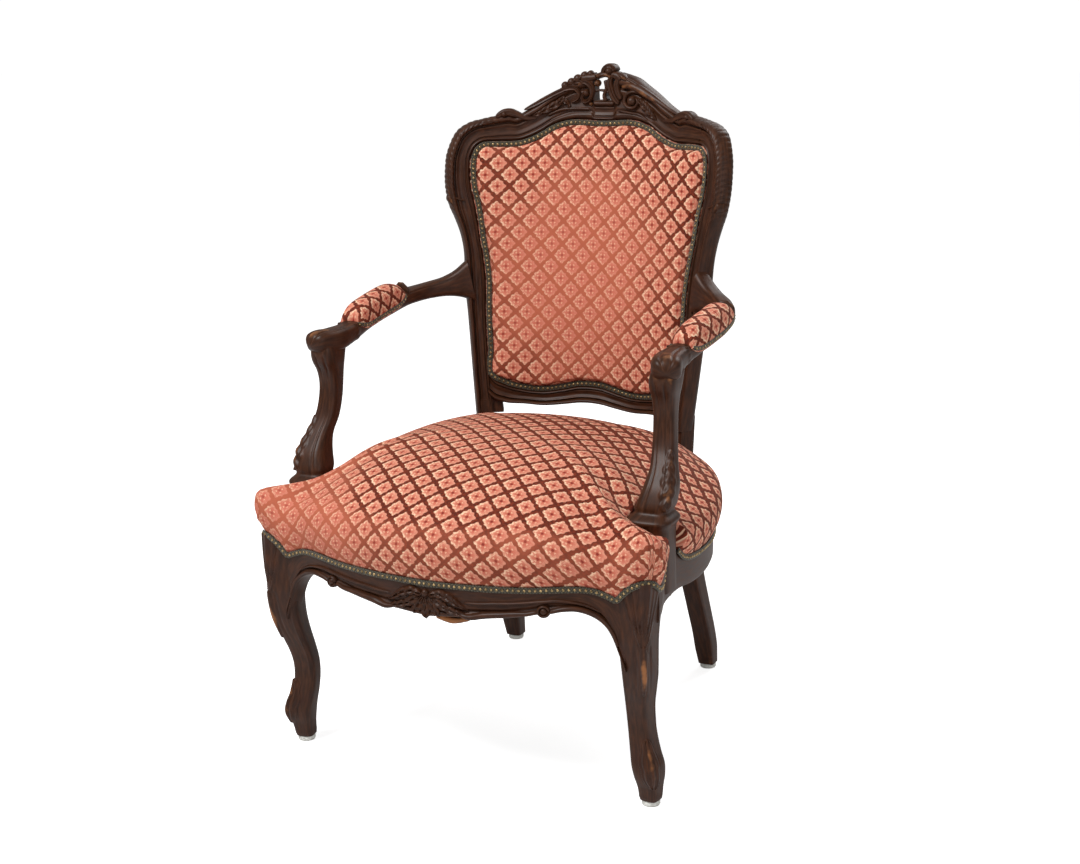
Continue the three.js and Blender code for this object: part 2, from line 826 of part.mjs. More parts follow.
function ringMiddle(ring) {
  return ring.reduce((sum, p) => sum.add(p), new THREE.Vector3()).divideScalar(ring.length);
}

function domeShell(outerRings, innerRings) {
  const count = outerRings[0].length;
  const outerPoints = outerRings.flat();
  const innerPoints = innerRings.flat();
  const points = [...outerPoints, ...innerPoints];
  points.push(ringMiddle(outerRings[outerRings.length - 1]), ringMiddle(innerRings[innerRings.length - 1]));
  const apexOuter = points.length - 2;
  const apexInner = points.length - 1;
  const faces = domeFaces(outerRings, 0, apexOuter);
  domeFaces(innerRings, outerPoints.length, apexInner).forEach(([a, b, c]) => faces.push([a, c, b]));
  const inner = outerPoints.length;
  for (let i = 0; i < count; i += 1) {
    const j = (i + 1) % count;
    faces.push([i, inner + i, inner + j]);
    faces.push([i, inner + j, j]);
  }
  return solidGeometry(points, faces);
}

function domeSolid(rings) {
  const points = [...rings.flat(), ringMiddle(rings[rings.length - 1]), ringMiddle(rings[0])];
  const apex = points.length - 2;
  const base = points.length - 1;
  const faces = domeFaces(rings, 0, apex);
  const count = rings[0].length;
  for (let i = 0; i < count; i += 1) faces.push([(i + 1) % count, i, base]);
  return solidGeometry(points, faces);
}

const seatCutters = [
  supportGrown, mirrored(supportGrown), ...stilePairGrown, ...legPairGrown,
];
const seatCover = cut(domeShell(seatRings(0), seatRings(coverThickness)), seatCutters);

const stuffingFloor = railTop + fitGap + hessianThickness + fitGap;
function stuffingRings() {
  const inset = coverThickness + 2 * fitGap;
  const rings = seatRings(inset);
  return [ringAtLevel(rings, stuffingFloor), ...rings.slice(2)];
}
const seatStuffing = cut(domeSolid(stuffingRings()), seatCutters);

function plate(outline, low, thickness) {
  const shape = new THREE.Shape(outline);
  const geometry = new THREE.ExtrudeGeometry(shape, { depth: thickness, bevelEnabled: false });
  geometry.translate(0, 0, low);
  return geometry;
}

function insetOutline(outline, distance) {
  const normals = outlineNormals(outline);
  return outline.map((p, i) => p.clone().addScaledVector(normals[i], -distance));
}

const hessianInset = 2 * coverThickness;
const hessian = cut(
  plate(insetOutline(seatOutline, hessianInset), railTop + fitGap, hessianThickness),
  seatCutters,
);

// Webbing under the rails: cross straps above, front-to-back straps below them.
const crossWebTop = railBottom - fitGap;
const crossWebLow = crossWebTop - webThickness;
const longWebTop = crossWebLow - fitGap;
const longWebLow = longWebTop - webThickness;

function innerFront(s) {
  const before = s === 0 ? flipX(planPoint(1)) : planPoint(s - 1);
  return planPoint(s).addScaledVector(outward(before, planPoint(s + 1)), -(railThickness + fitGap));
}

function sideFaceX(y) {
  const rows = sideStations.map((s) => [planPoint(s).y, planPoint(s).x]);
  return tableValue(rows, y);
}

function frontInnerY(x) {
  const rows = frontStations.map((s) => [innerFront(s).x, innerFront(s).y]);
  return tableValue(rows, Math.abs(x));
}

function crossWeb(y) {
  const half = Math.min(sideFaceX(y - webWidth / 2), sideFaceX(y + webWidth / 2)) - webInset;
  const strap = new THREE.BoxGeometry(2 * half, webWidth, webThickness);
  strap.translate(0, y, crossWebLow + webThickness / 2);
  return strap;
}

function longWeb(x) {
  const reach = Math.abs(x) + webWidth / 2;
  const front = frontInnerY(reach) + fitGap;
  const rear = backPoint(reach, railTop, rearRailDepth).y - webInset;
  const strap = new THREE.BoxGeometry(webWidth, rear - front, webThickness);
  strap.translate(x, (rear + front) / 2, longWebLow + webThickness / 2);
  return strap;
}

// Springs on the crossings of the webbing, waisted in the middle.
class SpringCurve extends THREE.Curve {
  constructor(x, y, low, high) {
    super();
    Object.assign(this, { x, y, low, high });
  }

  getPoint(t, target = new THREE.Vector3()) {
    const turn = 2 * Math.PI * springTurns * t;
    const radius = springRadius - springWaist * Math.sin(Math.PI * t);
    return target.set(
      this.x + radius * Math.cos(turn),
      this.y + radius * Math.sin(turn),
      lerp(this.low, this.high, t),
    );
  }
}

function spring(x, y) {
  const low = railBottom + springWire / 2;
  const high = railTop - springWire / 2;
  const wire = new THREE.Shape();
  const sides = 5;
  for (let i = 0; i < sides; i += 1) {
    const turn = 2 * Math.PI * i / sides;
    const [px, py] = [springWire / 2 * Math.cos(turn), springWire / 2 * Math.sin(turn)];
    if (i === 0) wire.moveTo(px, py);
    else wire.lineTo(px, py);
  }
  wire.closePath();
  return new THREE.ExtrudeGeometry(wire, {
    steps: 8 * springTurns, extrudePath: new SpringCurve(x, y, low, high), bevelEnabled: false,
  });
}

// Corner blocks inside the frame, cut to the rails and legs that they brace, each with a screw.
const blockHeight = railTop - railBottom - 2 * blockDrop;

function turned(geometry, angle, x, y, z) {
  geometry.rotateZ(angle);
  geometry.translate(x, y, z);
  return geometry;
}

function screwShape(grow) {
  const head = screwHeadRadius + grow;
  const shank = screwRadius + grow;
  const profile = [
    new THREE.Vector2(0, -screwHeadHeight - grow),
    new THREE.Vector2(head, -screwHeadHeight - grow),
    new THREE.Vector2(head, grow > 0 ? 0 : -fitGap),
    new THREE.Vector2(shank, grow > 0 ? 0 : -fitGap),
    new THREE.Vector2(shank, screwReach + grow),
    new THREE.Vector2(0, screwReach + 2 * grow),
  ];
  const screw = new THREE.LatheGeometry(profile, 10);
  return mergeVertices(screw.deleteAttribute('uv').deleteAttribute('normal'));
}

// A block lies across the corner at an angle, facing the leg; the screw runs through it into the leg.
function corner(legX, legY, reach, angle) {
  const toward = new THREE.Vector2(Math.cos(angle), Math.sin(angle));
  const centre = new THREE.Vector2(legX, legY).addScaledVector(toward, -(reach + blockThickness / 2));
  const middle = (railTop + railBottom) / 2;
  const block = turned(
    new THREE.BoxGeometry(blockThickness, blockLength, blockHeight), angle, centre.x, centre.y, middle,
  );
  const face = centre.clone().addScaledVector(toward, -blockThickness / 2);
  const screw = (grow) => {
    const shape = screwShape(grow);
    shape.rotateZ(-Math.PI / 2);
    return turned(shape, angle, face.x, face.y, middle);
  };
  return { block, screw };
}

const frontLegX = frontLegShares[14][1] * frontHalfWidth;
const frontLegY = -frontLegShares[14][2] * seatDepth;
const rearLegX = rearLegShares[6][1] * backHalfWidth;
const rearLegY = rearLegShares[6][2] * rearFootY;
const frontReach = kneeHalf + railThickness / 2;
const rearReach = legHalf + railThickness / 3;
const frontCorner = corner(frontLegX, frontLegY, frontReach, -Math.PI / 4);
const rearCorner = corner(rearLegX, rearLegY, rearReach, Math.PI / 3);
const railTools = [
  loft(grownRings(frontRailRings(), 2 * fitGap)),
  loft(grownRings(sideRailRings(), 2 * fitGap)),
  loft(grownRings(rearRailShares.map((s) => rearRailRing(s * backHalfWidth)), 2 * fitGap)),
];
const frontScrew = frontCorner.screw(0);
const rearScrew = rearCorner.screw(0);
const frontBlock = cut(frontCorner.block, [frontLegGrown, ...railTools, frontCorner.screw(fitGap)]);
const rearBlock = cut(rearCorner.block, [stileGrown, ...railTools, rearCorner.screw(fitGap)]);
const frontLeg = cut(frontLegUncut, [frontCorner.screw(fitGap)]);
const stileCut = cut(stile, [rearCorner.screw(fitGap)]);
const rearRailBored = cut(rearRail, [rearCorner.screw(fitGap), mirrored(rearCorner.screw(fitGap))]);

// Dust cover: under the side and rear rails, behind the front rail.
const dustLow = longWebLow - fitGap - dustThickness;
const dustInset = 4;
const dustFront = frontStations.map(innerFront);
const dustSide = insetOutline(seatOutline, dustInset).slice(sideStations[1], seatHalfOutline.length);
const dustHalf = [...dustFront, ...dustSide];
const dustOutline = [...dustHalf, ...dustHalf.slice(1, -1).reverse().map(flipX)];
const dustCover = cut(plate(dustOutline, dustLow, dustThickness), [...legPairGrown, ...stilePairGrown]);

// Back upholstery: hessian on the rebate, stuffing, cloth, and a cloth panel behind.
const revealRight = frameShares.slice(1).map((_, i) => frameStation(i + 1).reveal);
const bottomReveal = bottomRailShares.slice(1).map(([a, t]) => (
  new THREE.Vector2(a * backHalfWidth, backHeight(t))
));
const backHalfOutline = [...revealRight.slice().reverse(), ...bottomReveal];
const backOutline = insetOutline(
  [...backHalfOutline, ...backHalfOutline.slice(1, -1).reverse().map(flipX)].reverse(),
  3 * fitGap,
);
const backCentreShare = 0.70;
const backCentre = new THREE.Vector2(0, backHeight(backCentreShare));
const rimDepth = beadProud;

const backCoverProfile = [
  // step in from the reveal edge as a share of the braid's width, share of the way out, rise of the crown
  [0.0, 1.00, 0.00],
  [1.1, 1.00, 0.00],
  [1.5, 1.00, 0.36],
  [3.2, 1.00, 0.72],
  [3.2, 0.60, 0.97],
  [3.2, 0.30, 1.00],
];
const backInnerProfile = backCoverProfile.slice(1);
const backStep = backCoverProfile[3][0];
const backFoldStep = backCoverProfile[1][0];

function backLayer(profile, inset) {
  const steps = profile.map(([step, share, rise]) => [
    -step * gimpWidth - inset, share, rimDepth - rise * backCrown + inset,
  ]);
  return domeRings(backOutline, backCentre, steps, (p, depth) => backPoint(p.x, p.y, depth));
}

function backRim(inset, depth) {
  return insetOutline(backOutline, inset).map((p) => backPoint(p.x, p.y, depth));
}

// Even layer through the window, with the shares of the crowned layers so that they nest.
function evenLayer(outline, inset, depth) {
  const inner = -backStep * gimpWidth;
  const steps = [[-inset, 1], [inner, 1], [inner, backCoverProfile[4][1]], [inner, backCoverProfile[5][1]]];
  const profile = steps.map(([offset, share]) => [offset, share, depth]);
  return domeRings(outline, backCentre, profile, (p, d) => backPoint(p.x, p.y, d));
}

const clothBack = clothFoldThickness;
const backHessianRear = rebateDepth - fitGap;
const backHessianFront = backHessianRear - backClothThickness;
const stuffingRear = backHessianFront - fitGap;
const stuffingInset = clothBack + fitGap;
const hessianRim = backFoldStep * gimpWidth;
const backHessian = domeShell(
  evenLayer(backOutline, hessianRim, backHessianFront),
  evenLayer(backOutline, hessianRim, backHessianRear),
);
const backCover = domeShell(
  [backRim(0, backHessianRear), ...backLayer(backCoverProfile, 0)],
  [backRim(clothBack, backHessianRear), ...backLayer(backInnerProfile, clothBack)],
);
const backStuffing = domeShell(
  backLayer(backInnerProfile, stuffingInset),
  evenLayer(backOutline, hessianRim + stuffingInset, stuffingRear),
);
const outsideFront = frameDepth + 2 * fitGap;
const outsideBack = domeShell(
  evenLayer(backOutline, 0, outsideFront),
  evenLayer(backOutline, 0, outsideFront + backClothThickness),
);

// Braid: a flat strip swept along an edge.
const braidSectionShares = [
  // across of the width, up of the thickness
  [0, 0], [0.2, 1], [0.8, 1], [1, 0],
];

function braidRing(point, across, lift) {
  return braidSectionShares.map(([a, d]) => (
    point.clone().addScaledVector(across, a * gimpWidth).addScaledVector(lift, d * gimpThickness)
  ));
}

function backBraid() {
  const normals = outlineNormals(backOutline);
  const rings = backOutline.map((p, i) => {
    const at = (step, depth) => {
      const q = p.clone().addScaledVector(normals[i], -step);
      return backPoint(q.x, q.y, depth);
    };
    return braidSectionShares.map(([a, up]) => at(fitGap + a * gimpWidth, rimDepth - fitGap - up * gimpThickness));
  });
  return loft(rings, true);
}

// Seat braid: lies on the rail's face just below the cloth's edge.
function seatBraid(rows) {
  const rings = rows.map(([x, y, normal]) => {
    const line = gimpHeight(new THREE.Vector2(x, y)) - gimpWidth - 2 * fitGap;
    const base = new THREE.Vector3(x, y, line).addScaledVector(normal, fitGap);
    const up = new THREE.Vector3(0, 0, 1);
    return braidRing(base, up, normal);
  });
  return loft(rings);
}

function outlineRows(from, to) {
  const normals = outlineNormals(seatOutline);
  const rows = [];
  for (let i = from; i <= to; i += 1) {
    const k = (i + seatOutline.length) % seatOutline.length;
    rows.push([seatOutline[k].x, seatOutline[k].y, new THREE.Vector3(normals[k].x, normals[k].y, 0)]);
  }
  return rows;
}

// Assembly
addPair('rear_leg_stile', stileCut, materials.wood);
add('crest_rail', crest, materials.wood);
add('back_bottom_rail', bottomRail, materials.wood);
addPair('front_leg', frontLeg, materials.wood);
add('front_rail', frontRail, materials.wood);
addPair('side_rail', sideRail, materials.wood);
add('rear_rail', rearRailBored, materials.rawWood);
addPair('arm_support', supportUncut, materials.wood);
addPair('arm', arm, materials.wood);
addPair('arm_pad_cover', padCover, materials.velvet);
addPair('arm_pad_stuffing', padStuffing, materials.stuffing);
add('seat_cover', seatCover, materials.velvet);
add('seat_stuffing', seatStuffing, materials.stuffing);
add('seat_hessian', hessian, materials.hessian);
add('dust_cover', dustCover, materials.dust);
add('back_cover', backCover, materials.velvet);
add('back_stuffing', backStuffing, materials.stuffing);
add('back_hessian', backHessian, materials.hessian);
add('outside_back_cover', outsideBack, materials.velvet);
add('back_gimp', backBraid(), materials.gimp);

[-1, 0, 1].forEach((k, i) => {
  add(`webbing_cross_${i + 1}`, crossWeb((k - 1) * webSpacingY), materials.hessian);
  add(`webbing_long_${i + 1}`, longWeb(k * webSpacingX), materials.hessian);
});
[[0, 0], [-1, -1], [1, -1], [-1, 1], [1, 1]].forEach(([i, j], n) => {
  add(`seat_spring_${n + 1}`, spring(i * webSpacingX, (j - 1) * webSpacingY), materials.steel);
});

const glide = new THREE.CylinderGeometry(glideRadius, glideRadius, glideHeight, 16);
glide.rotateX(Math.PI / 2);
glide.translate(0, 0, glideHeight / 2);
const frontGlide = glide.clone();
frontGlide.translate(frontLegShares[0][1] * frontHalfWidth, -frontLegShares[0][2] * seatDepth, 0);
const rearGlide = glide.clone();
rearGlide.translate(rearLegShares[0][1] * backHalfWidth, rearFootY, 0);
addPair('front_glide', mergeVertices(frontGlide), materials.glide);
addPair('rear_glide', mergeVertices(rearGlide), materials.glide);

const frontBraidEnd = 11;
const sideBraidStart = 13;
const sideBraidEnd = 19;
const frontBraid = cut(seatBraid(outlineRows(-frontBraidEnd, frontBraidEnd)), legPairGrown);
add('seat_gimp_front', frontBraid, materials.gimp);
addPair('seat_gimp_side', seatBraid(outlineRows(sideBraidStart, sideBraidEnd)), materials.gimp);
addPair('arm_gimp', armBraid(), materials.gimp);
addPair('corner_block_front', frontBlock, materials.rawWood);
addPair('corner_block_rear', rearBlock, materials.rawWood);
addPair('corner_screw_front', frontScrew, materials.steel);
addPair('corner_screw_rear', rearScrew, materials.steel);

// The origin lies under the middle of the whole chair.
const bounds = new THREE.Box3().setFromObject(chair);
chair.position.y = -(bounds.min.y + bounds.max.y) / 2;

export default chair;
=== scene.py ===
"""Open-arm chair with a carved show-wood frame, a hollow back and a crowned seat in trellis velvet.

Lengths in the shape code are millimetres about a point on the floor midway between the feet.
Each finished mesh is written in metres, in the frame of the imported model.
"""

import logging
import math
from collections.abc import Callable
from dataclasses import dataclass, field
from enum import Enum

import bpy
import numpy as np
from mathutils import Matrix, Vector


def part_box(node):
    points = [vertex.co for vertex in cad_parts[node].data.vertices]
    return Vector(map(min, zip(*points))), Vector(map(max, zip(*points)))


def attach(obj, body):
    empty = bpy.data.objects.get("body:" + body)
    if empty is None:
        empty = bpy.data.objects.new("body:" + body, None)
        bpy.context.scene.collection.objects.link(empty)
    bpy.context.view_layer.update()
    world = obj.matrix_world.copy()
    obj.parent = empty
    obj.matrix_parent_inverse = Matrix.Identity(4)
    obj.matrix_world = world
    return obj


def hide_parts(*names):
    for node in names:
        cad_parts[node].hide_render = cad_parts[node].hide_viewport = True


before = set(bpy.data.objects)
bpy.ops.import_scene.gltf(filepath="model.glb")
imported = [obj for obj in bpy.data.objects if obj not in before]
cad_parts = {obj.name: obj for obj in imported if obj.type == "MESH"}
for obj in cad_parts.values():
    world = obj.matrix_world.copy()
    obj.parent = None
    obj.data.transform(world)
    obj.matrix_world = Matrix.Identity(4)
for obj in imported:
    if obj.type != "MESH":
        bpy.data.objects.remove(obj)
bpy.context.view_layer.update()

log = logging.getLogger("chair")

MM = 0.001
FRONT_FOOT_Y = -256.361
GLIDE_LOW, GLIDE_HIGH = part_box("front_glide_right")
SHIFT_Y = (GLIDE_LOW.y + GLIDE_HIGH.y) / 2 / MM - FRONT_FOOT_Y
OVERALL_HEIGHT = 980.0
BACK_HALF_WIDTH = 229.0
FRONT_HALF_WIDTH = 300.0
SEAT_DEPTH = 371.0
BACK_RADIUS = 350.0
RAIL_TOP = 345.0
Place = Callable[[np.ndarray, np.ndarray, np.ndarray], np.ndarray]


class Side(Enum):
    """The two sides of the chair."""

    RIGHT = 1
    LEFT = -1

    @property
    def word(self) -> str:
        """The side's name in piece names."""
        return self.name.lower()


# Curves and arrays


def read_table(rows: np.ndarray, at: np.ndarray) -> np.ndarray:
    """Reads a table smoothly: cubic pieces through the rows, with slopes from their neighbours.

    Args:
        rows: the first column is the position, the others are the values.
        at: positions to read.

    Returns:
        One row of values for each position.
    """
    rows = np.asarray(rows, float)
    x, v = rows[:, 0], rows[:, 1:]
    slope = np.gradient(v, x, axis=0)
    at = np.atleast_1d(np.asarray(at, float))
    k = np.clip(np.searchsorted(x, at, side="right") - 1, 0, len(x) - 2)
    h = (x[k + 1] - x[k])[:, None]
    t = np.clip((at - x[k])[:, None] / h, 0, 1)
    rise = t * t * (3 - 2 * t)
    return v[k] * (1 - rise) + v[k + 1] * rise + h * t * (1 - t) * ((1 - t) * slope[k] - t * slope[k + 1])


def read_one(rows: np.ndarray, at: np.ndarray) -> np.ndarray:
    """Reads a table that has one value in each row, as a flat array."""
    shape = np.shape(at)
    return read_table(rows, np.ravel(at))[:, 0].reshape(shape)


def smooth_path(points: np.ndarray, count: int) -> np.ndarray:
    """Spaces points evenly on a smooth curve through the given points.

    Args:
        points: points on the curve, one in each row.
        count: how many points to return.

    Returns:
        The new points, one in each row.
    """
    points = np.asarray(points, float)
    run = np.r_[0, np.cumsum(np.linalg.norm(np.diff(points, axis=0), axis=1))]
    dense = read_table(np.column_stack([run, points]), np.linspace(0, run[-1], 8 * count))
    along = np.r_[0, np.cumsum(np.linalg.norm(np.diff(dense, axis=0), axis=1))]
    at = np.linspace(0, along[-1], count)
    return np.column_stack([np.interp(at, along, dense[:, k]) for k in range(dense.shape[1])])


def plane_normals(path: np.ndarray, closed: bool = False) -> np.ndarray:
    """Unit normals to the right of a plane path."""
    if closed:
        run = np.roll(path, -1, axis=0) - np.roll(path, 1, axis=0)
    else:
        run = np.gradient(path, axis=0)
    run = run / np.maximum(np.linalg.norm(run, axis=1, keepdims=True), 1e-9)
    return np.column_stack([run[:, 1], -run[:, 0]])


def ease(value: np.ndarray, low: float, high: float) -> np.ndarray:
    """Rises smoothly from 0 at low to 1 at high."""
    t = np.clip((np.asarray(value, float) - low) / (high - low), 0, 1)
    return t * t * (3 - 2 * t)


def bell(value: np.ndarray, centre: float, reach: float) -> np.ndarray:
    """A smooth bump of height 1 about a centre."""
    return np.exp(-(((np.asarray(value, float) - centre) / reach) ** 2))


@dataclass
class Skin:
    """A closed surface in several sheets, gathered into one mesh.

    Attributes:
        name: the piece's name.
        points, quads, tris, coords, wear: the parts gathered so far.
    """

    name: str
    points: list = field(default_factory=list)
    quads: list = field(default_factory=list)
    tris: list = field(default_factory=list)
    quad_uv: list = field(default_factory=list)
    tri_uv: list = field(default_factory=list)
    wear_and_painted_light: list = field(default_factory=list)
    count: int = 0

    def add(
        self,
        grid: np.ndarray,
        around: bool = True,
        ring: bool = False,
        uv: np.ndarray | None = None,
        wear_and_painted_light: np.ndarray | float = 0.0,
    ) -> "Skin":
        """Adds a grid of points as a closed sheet of four-sided faces, with a fan over each open end.

        Args:
            grid: rows by columns by three, in millimetres.
            around: whether the last column joins the first.
            ring: whether the last row joins the first.
            uv: cloth or grain coordinates in metres, with one more row or column where those join.
            wear_and_painted_light: how worn each point is on the wood, from 0 to 1; on the velvet,
            painted pile sheen above 0 that softens the pattern, and painted pile shade below 0.

        Returns:
            This skin.
        """
        grid = np.asarray(grid, float)
        rows, cols = grid.shape[:2]
        if uv is None:
            uv = self.measure(grid, around, ring)
        wear_and_painted_light = np.broadcast_to(np.asarray(wear_and_painted_light, float), (rows, cols))
        points = grid.reshape(-1, 3)
        r = np.arange(rows if ring else rows - 1)[:, None]
        c = np.arange(cols if around else cols - 1)[None, :]
        r2, c2 = (r + 1) % rows, (c + 1) % cols
        quads = np.stack(np.broadcast_arrays(r * cols + c, r * cols + c2, r2 * cols + c2, r2 * cols + c), -1)
        r1, c1 = r + 1, c + 1
        quad_uv = np.stack([uv[r, c], uv[r, c1], uv[r1, c1], uv[r1, c]], axis=2)
        tris, tri_uv, extra = [], [], []
        if around and not ring:
            for end, flip in ((0, True), (rows - 1, False)):
                pole = len(points) + len(extra)
                extra.append(grid[end].mean(axis=0))
                a, b = np.arange(cols), (np.arange(cols) + 1) % cols
                a, b = (b, a) if flip else (a, b)
                tris.append(np.column_stack([np.full(cols, pole), end * cols + a, end * cols + b]))
                middle = np.broadcast_to(uv[end, :-1].mean(axis=0), (cols, 2))
                tri_uv.append(np.stack([middle, uv[end, a], uv[end, b]], axis=1))
        quads = quads.reshape(-1, 4)
        quad_uv = quad_uv.reshape(-1, 4, 2)
        every = np.vstack([points, *[e[None] for e in extra]]) if extra else points
        tri = np.vstack(tris) if tris else np.zeros((0, 3), int)
        tuv = np.vstack(tri_uv) if tri_uv else np.zeros((0, 3, 2))
        corner = every[quads]
        volume = np.einsum("ij,ij->i", corner[:, 0], np.cross(corner[:, 1], corner[:, 2])).sum()
        volume += np.einsum("ij,ij->i", corner[:, 0], np.cross(corner[:, 2], corner[:, 3])).sum()
        if len(tri):
            volume += np.einsum("ij,ij->i", every[tri[:, 0]], np.cross(every[tri[:, 1]], every[tri[:, 2]])).sum()
        if volume < 0:
            quads, quad_uv = quads[:, ::-1], quad_uv[:, ::-1]
            tri, tuv = tri[:, ::-1], tuv[:, ::-1]
        self.points.append(every)
        self.quads.append(quads + self.count)
        self.tris.append(tri + self.count)
        self.quad_uv.append(quad_uv)
        self.tri_uv.append(tuv)
        self.wear_and_painted_light.append(np.r_[wear_and_painted_light.ravel(), [wear_and_painted_light[0].mean(), wear_and_painted_light[-1].mean()][: len(extra)]])
        self.count += len(every)
        return self

    @staticmethod
    def measure(grid: np.ndarray, around: bool, ring: bool) -> np.ndarray:
        """Grain coordinates: metres round the section, and metres along the piece."""
        cols = np.concatenate([grid, grid[:, :1]], axis=1) if around else grid
        step = np.linalg.norm(np.diff(cols, axis=1), axis=2).mean(axis=0)
        u = np.r_[0, np.cumsum(step)] * MM
        rows = np.concatenate([grid, grid[:1]], axis=0) if ring else grid
        step = np.linalg.norm(np.diff(rows, axis=0), axis=2).mean(axis=1)
        v = np.r_[0, np.cumsum(step)] * MM
        return np.stack(np.meshgrid(u, v), axis=-1)

    def build(self, finish: bpy.types.Material, slot: str, nodes: list[str], crease: float = 45.0) -> bpy.types.Object:
        """Makes the mesh, gives it its material and hangs it on the chair.

        Args:
            finish: the material.
            slot: the record's material slot; not used.
            nodes: the CAD nodes that the piece stands for.
            crease: angle in degrees above which an edge stays sharp.

        Returns:
            The new object.
        """
        points = np.vstack(self.points)
        points[:, 1] += SHIFT_Y
        quads, tris = np.vstack(self.quads), np.vstack(self.tris)
        mesh = bpy.data.meshes.new(self.name)
        mesh.vertices.add(len(points))
        mesh.vertices.foreach_set("co", (points * MM).astype(np.float32).ravel())
        mesh.loops.add(quads.size + tris.size)
        mesh.loops.foreach_set("vertex_index", np.r_[quads.ravel(), tris.ravel()].astype(np.int32))
        mesh.polygons.add(len(quads) + len(tris))
        starts = np.r_[np.arange(len(quads)) * 4, quads.size + np.arange(len(tris)) * 3]
        mesh.polygons.foreach_set("loop_start", starts.astype(np.int32))
        mesh.update(calc_edges=True)
        layer = mesh.uv_layers.new(name="UVMap")
        coords = np.vstack([np.vstack(self.quad_uv).reshape(-1, 2), np.vstack(self.tri_uv).reshape(-1, 2)])
        layer.data.foreach_set("uv", coords.astype(np.float32).ravel())
        # Wear on the wood; on the velvet, painted pile sheen above 0 and painted pile shade below 0.
        worn = mesh.attributes.new("wear_and_painted_light", "FLOAT", "POINT")
        worn.data.foreach_set("value", np.concatenate(self.wear_and_painted_light).astype(np.float32))
        mesh.polygons.foreach_set("use_smooth", np.ones(len(quads) + len(tris), bool))
        mesh.set_sharp_from_angle(angle=math.radians(crease))
        mesh.materials.append(finish)
        piece = bpy.data.objects.new(self.name, mesh)
        bpy.context.scene.collection.objects.link(piece)
        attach(piece, "root")
        if nodes:
            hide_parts(*nodes)
        log.info("%s: %d faces", self.name, len(quads) + len(tris))
        return piece


def mirror(grid: np.ndarray, side: Side) -> np.ndarray:
    """The grid itself on the right, or its mirror image on the left."""
    out = np.array(grid, float)
    out[..., 0] *= side.value
    return out


def tube(path: np.ndarray, across: np.ndarray, up: np.ndarray, section: np.ndarray) -> np.ndarray:
    """Carries a section along a path: each point is path + across * a + up * b.

    Args:
        path: points of the path, n by 3.
        across: unit vectors across the path, n by 3.
        up: unit vectors up from the path, n by 3.
        section: offsets a and b, n by m by 2.

    Returns:
        A grid n by m by 3.
    """
    return path[:, None] + section[..., :1] * across[:, None] + section[..., 1:] * up[:, None]


def rounded_square(count: int, power: float, turn: float = 0.0) -> tuple[np.ndarray, np.ndarray]:
    """Angles and radii of a square of half size 1 with softened corners, by the super-ellipse rule."""
    angle = np.arange(count) / count * 2 * np.pi + turn
    radius = (np.abs(np.cos(angle)) ** power + np.abs(np.sin(angle)) ** power) ** (-1 / power)
    return angle, radius


def on_back(x: np.ndarray, z: np.ndarray, depth: np.ndarray) -> np.ndarray:
    """The back's surface: a cylinder about an upright axis in front, leaning back with height."""
    x, z, depth = np.broadcast_arrays(np.asarray(x, float), np.asarray(z, float), np.asarray(depth, float))
    turn = np.arcsin(np.clip(x / BACK_RADIUS, -1, 1))
    middle = 165.0 + 0.146 * (z - RAIL_TOP)
    reach = BACK_RADIUS + depth
    return np.stack([reach * np.sin(turn), middle - BACK_RADIUS + reach * np.cos(turn), z], axis=-1)


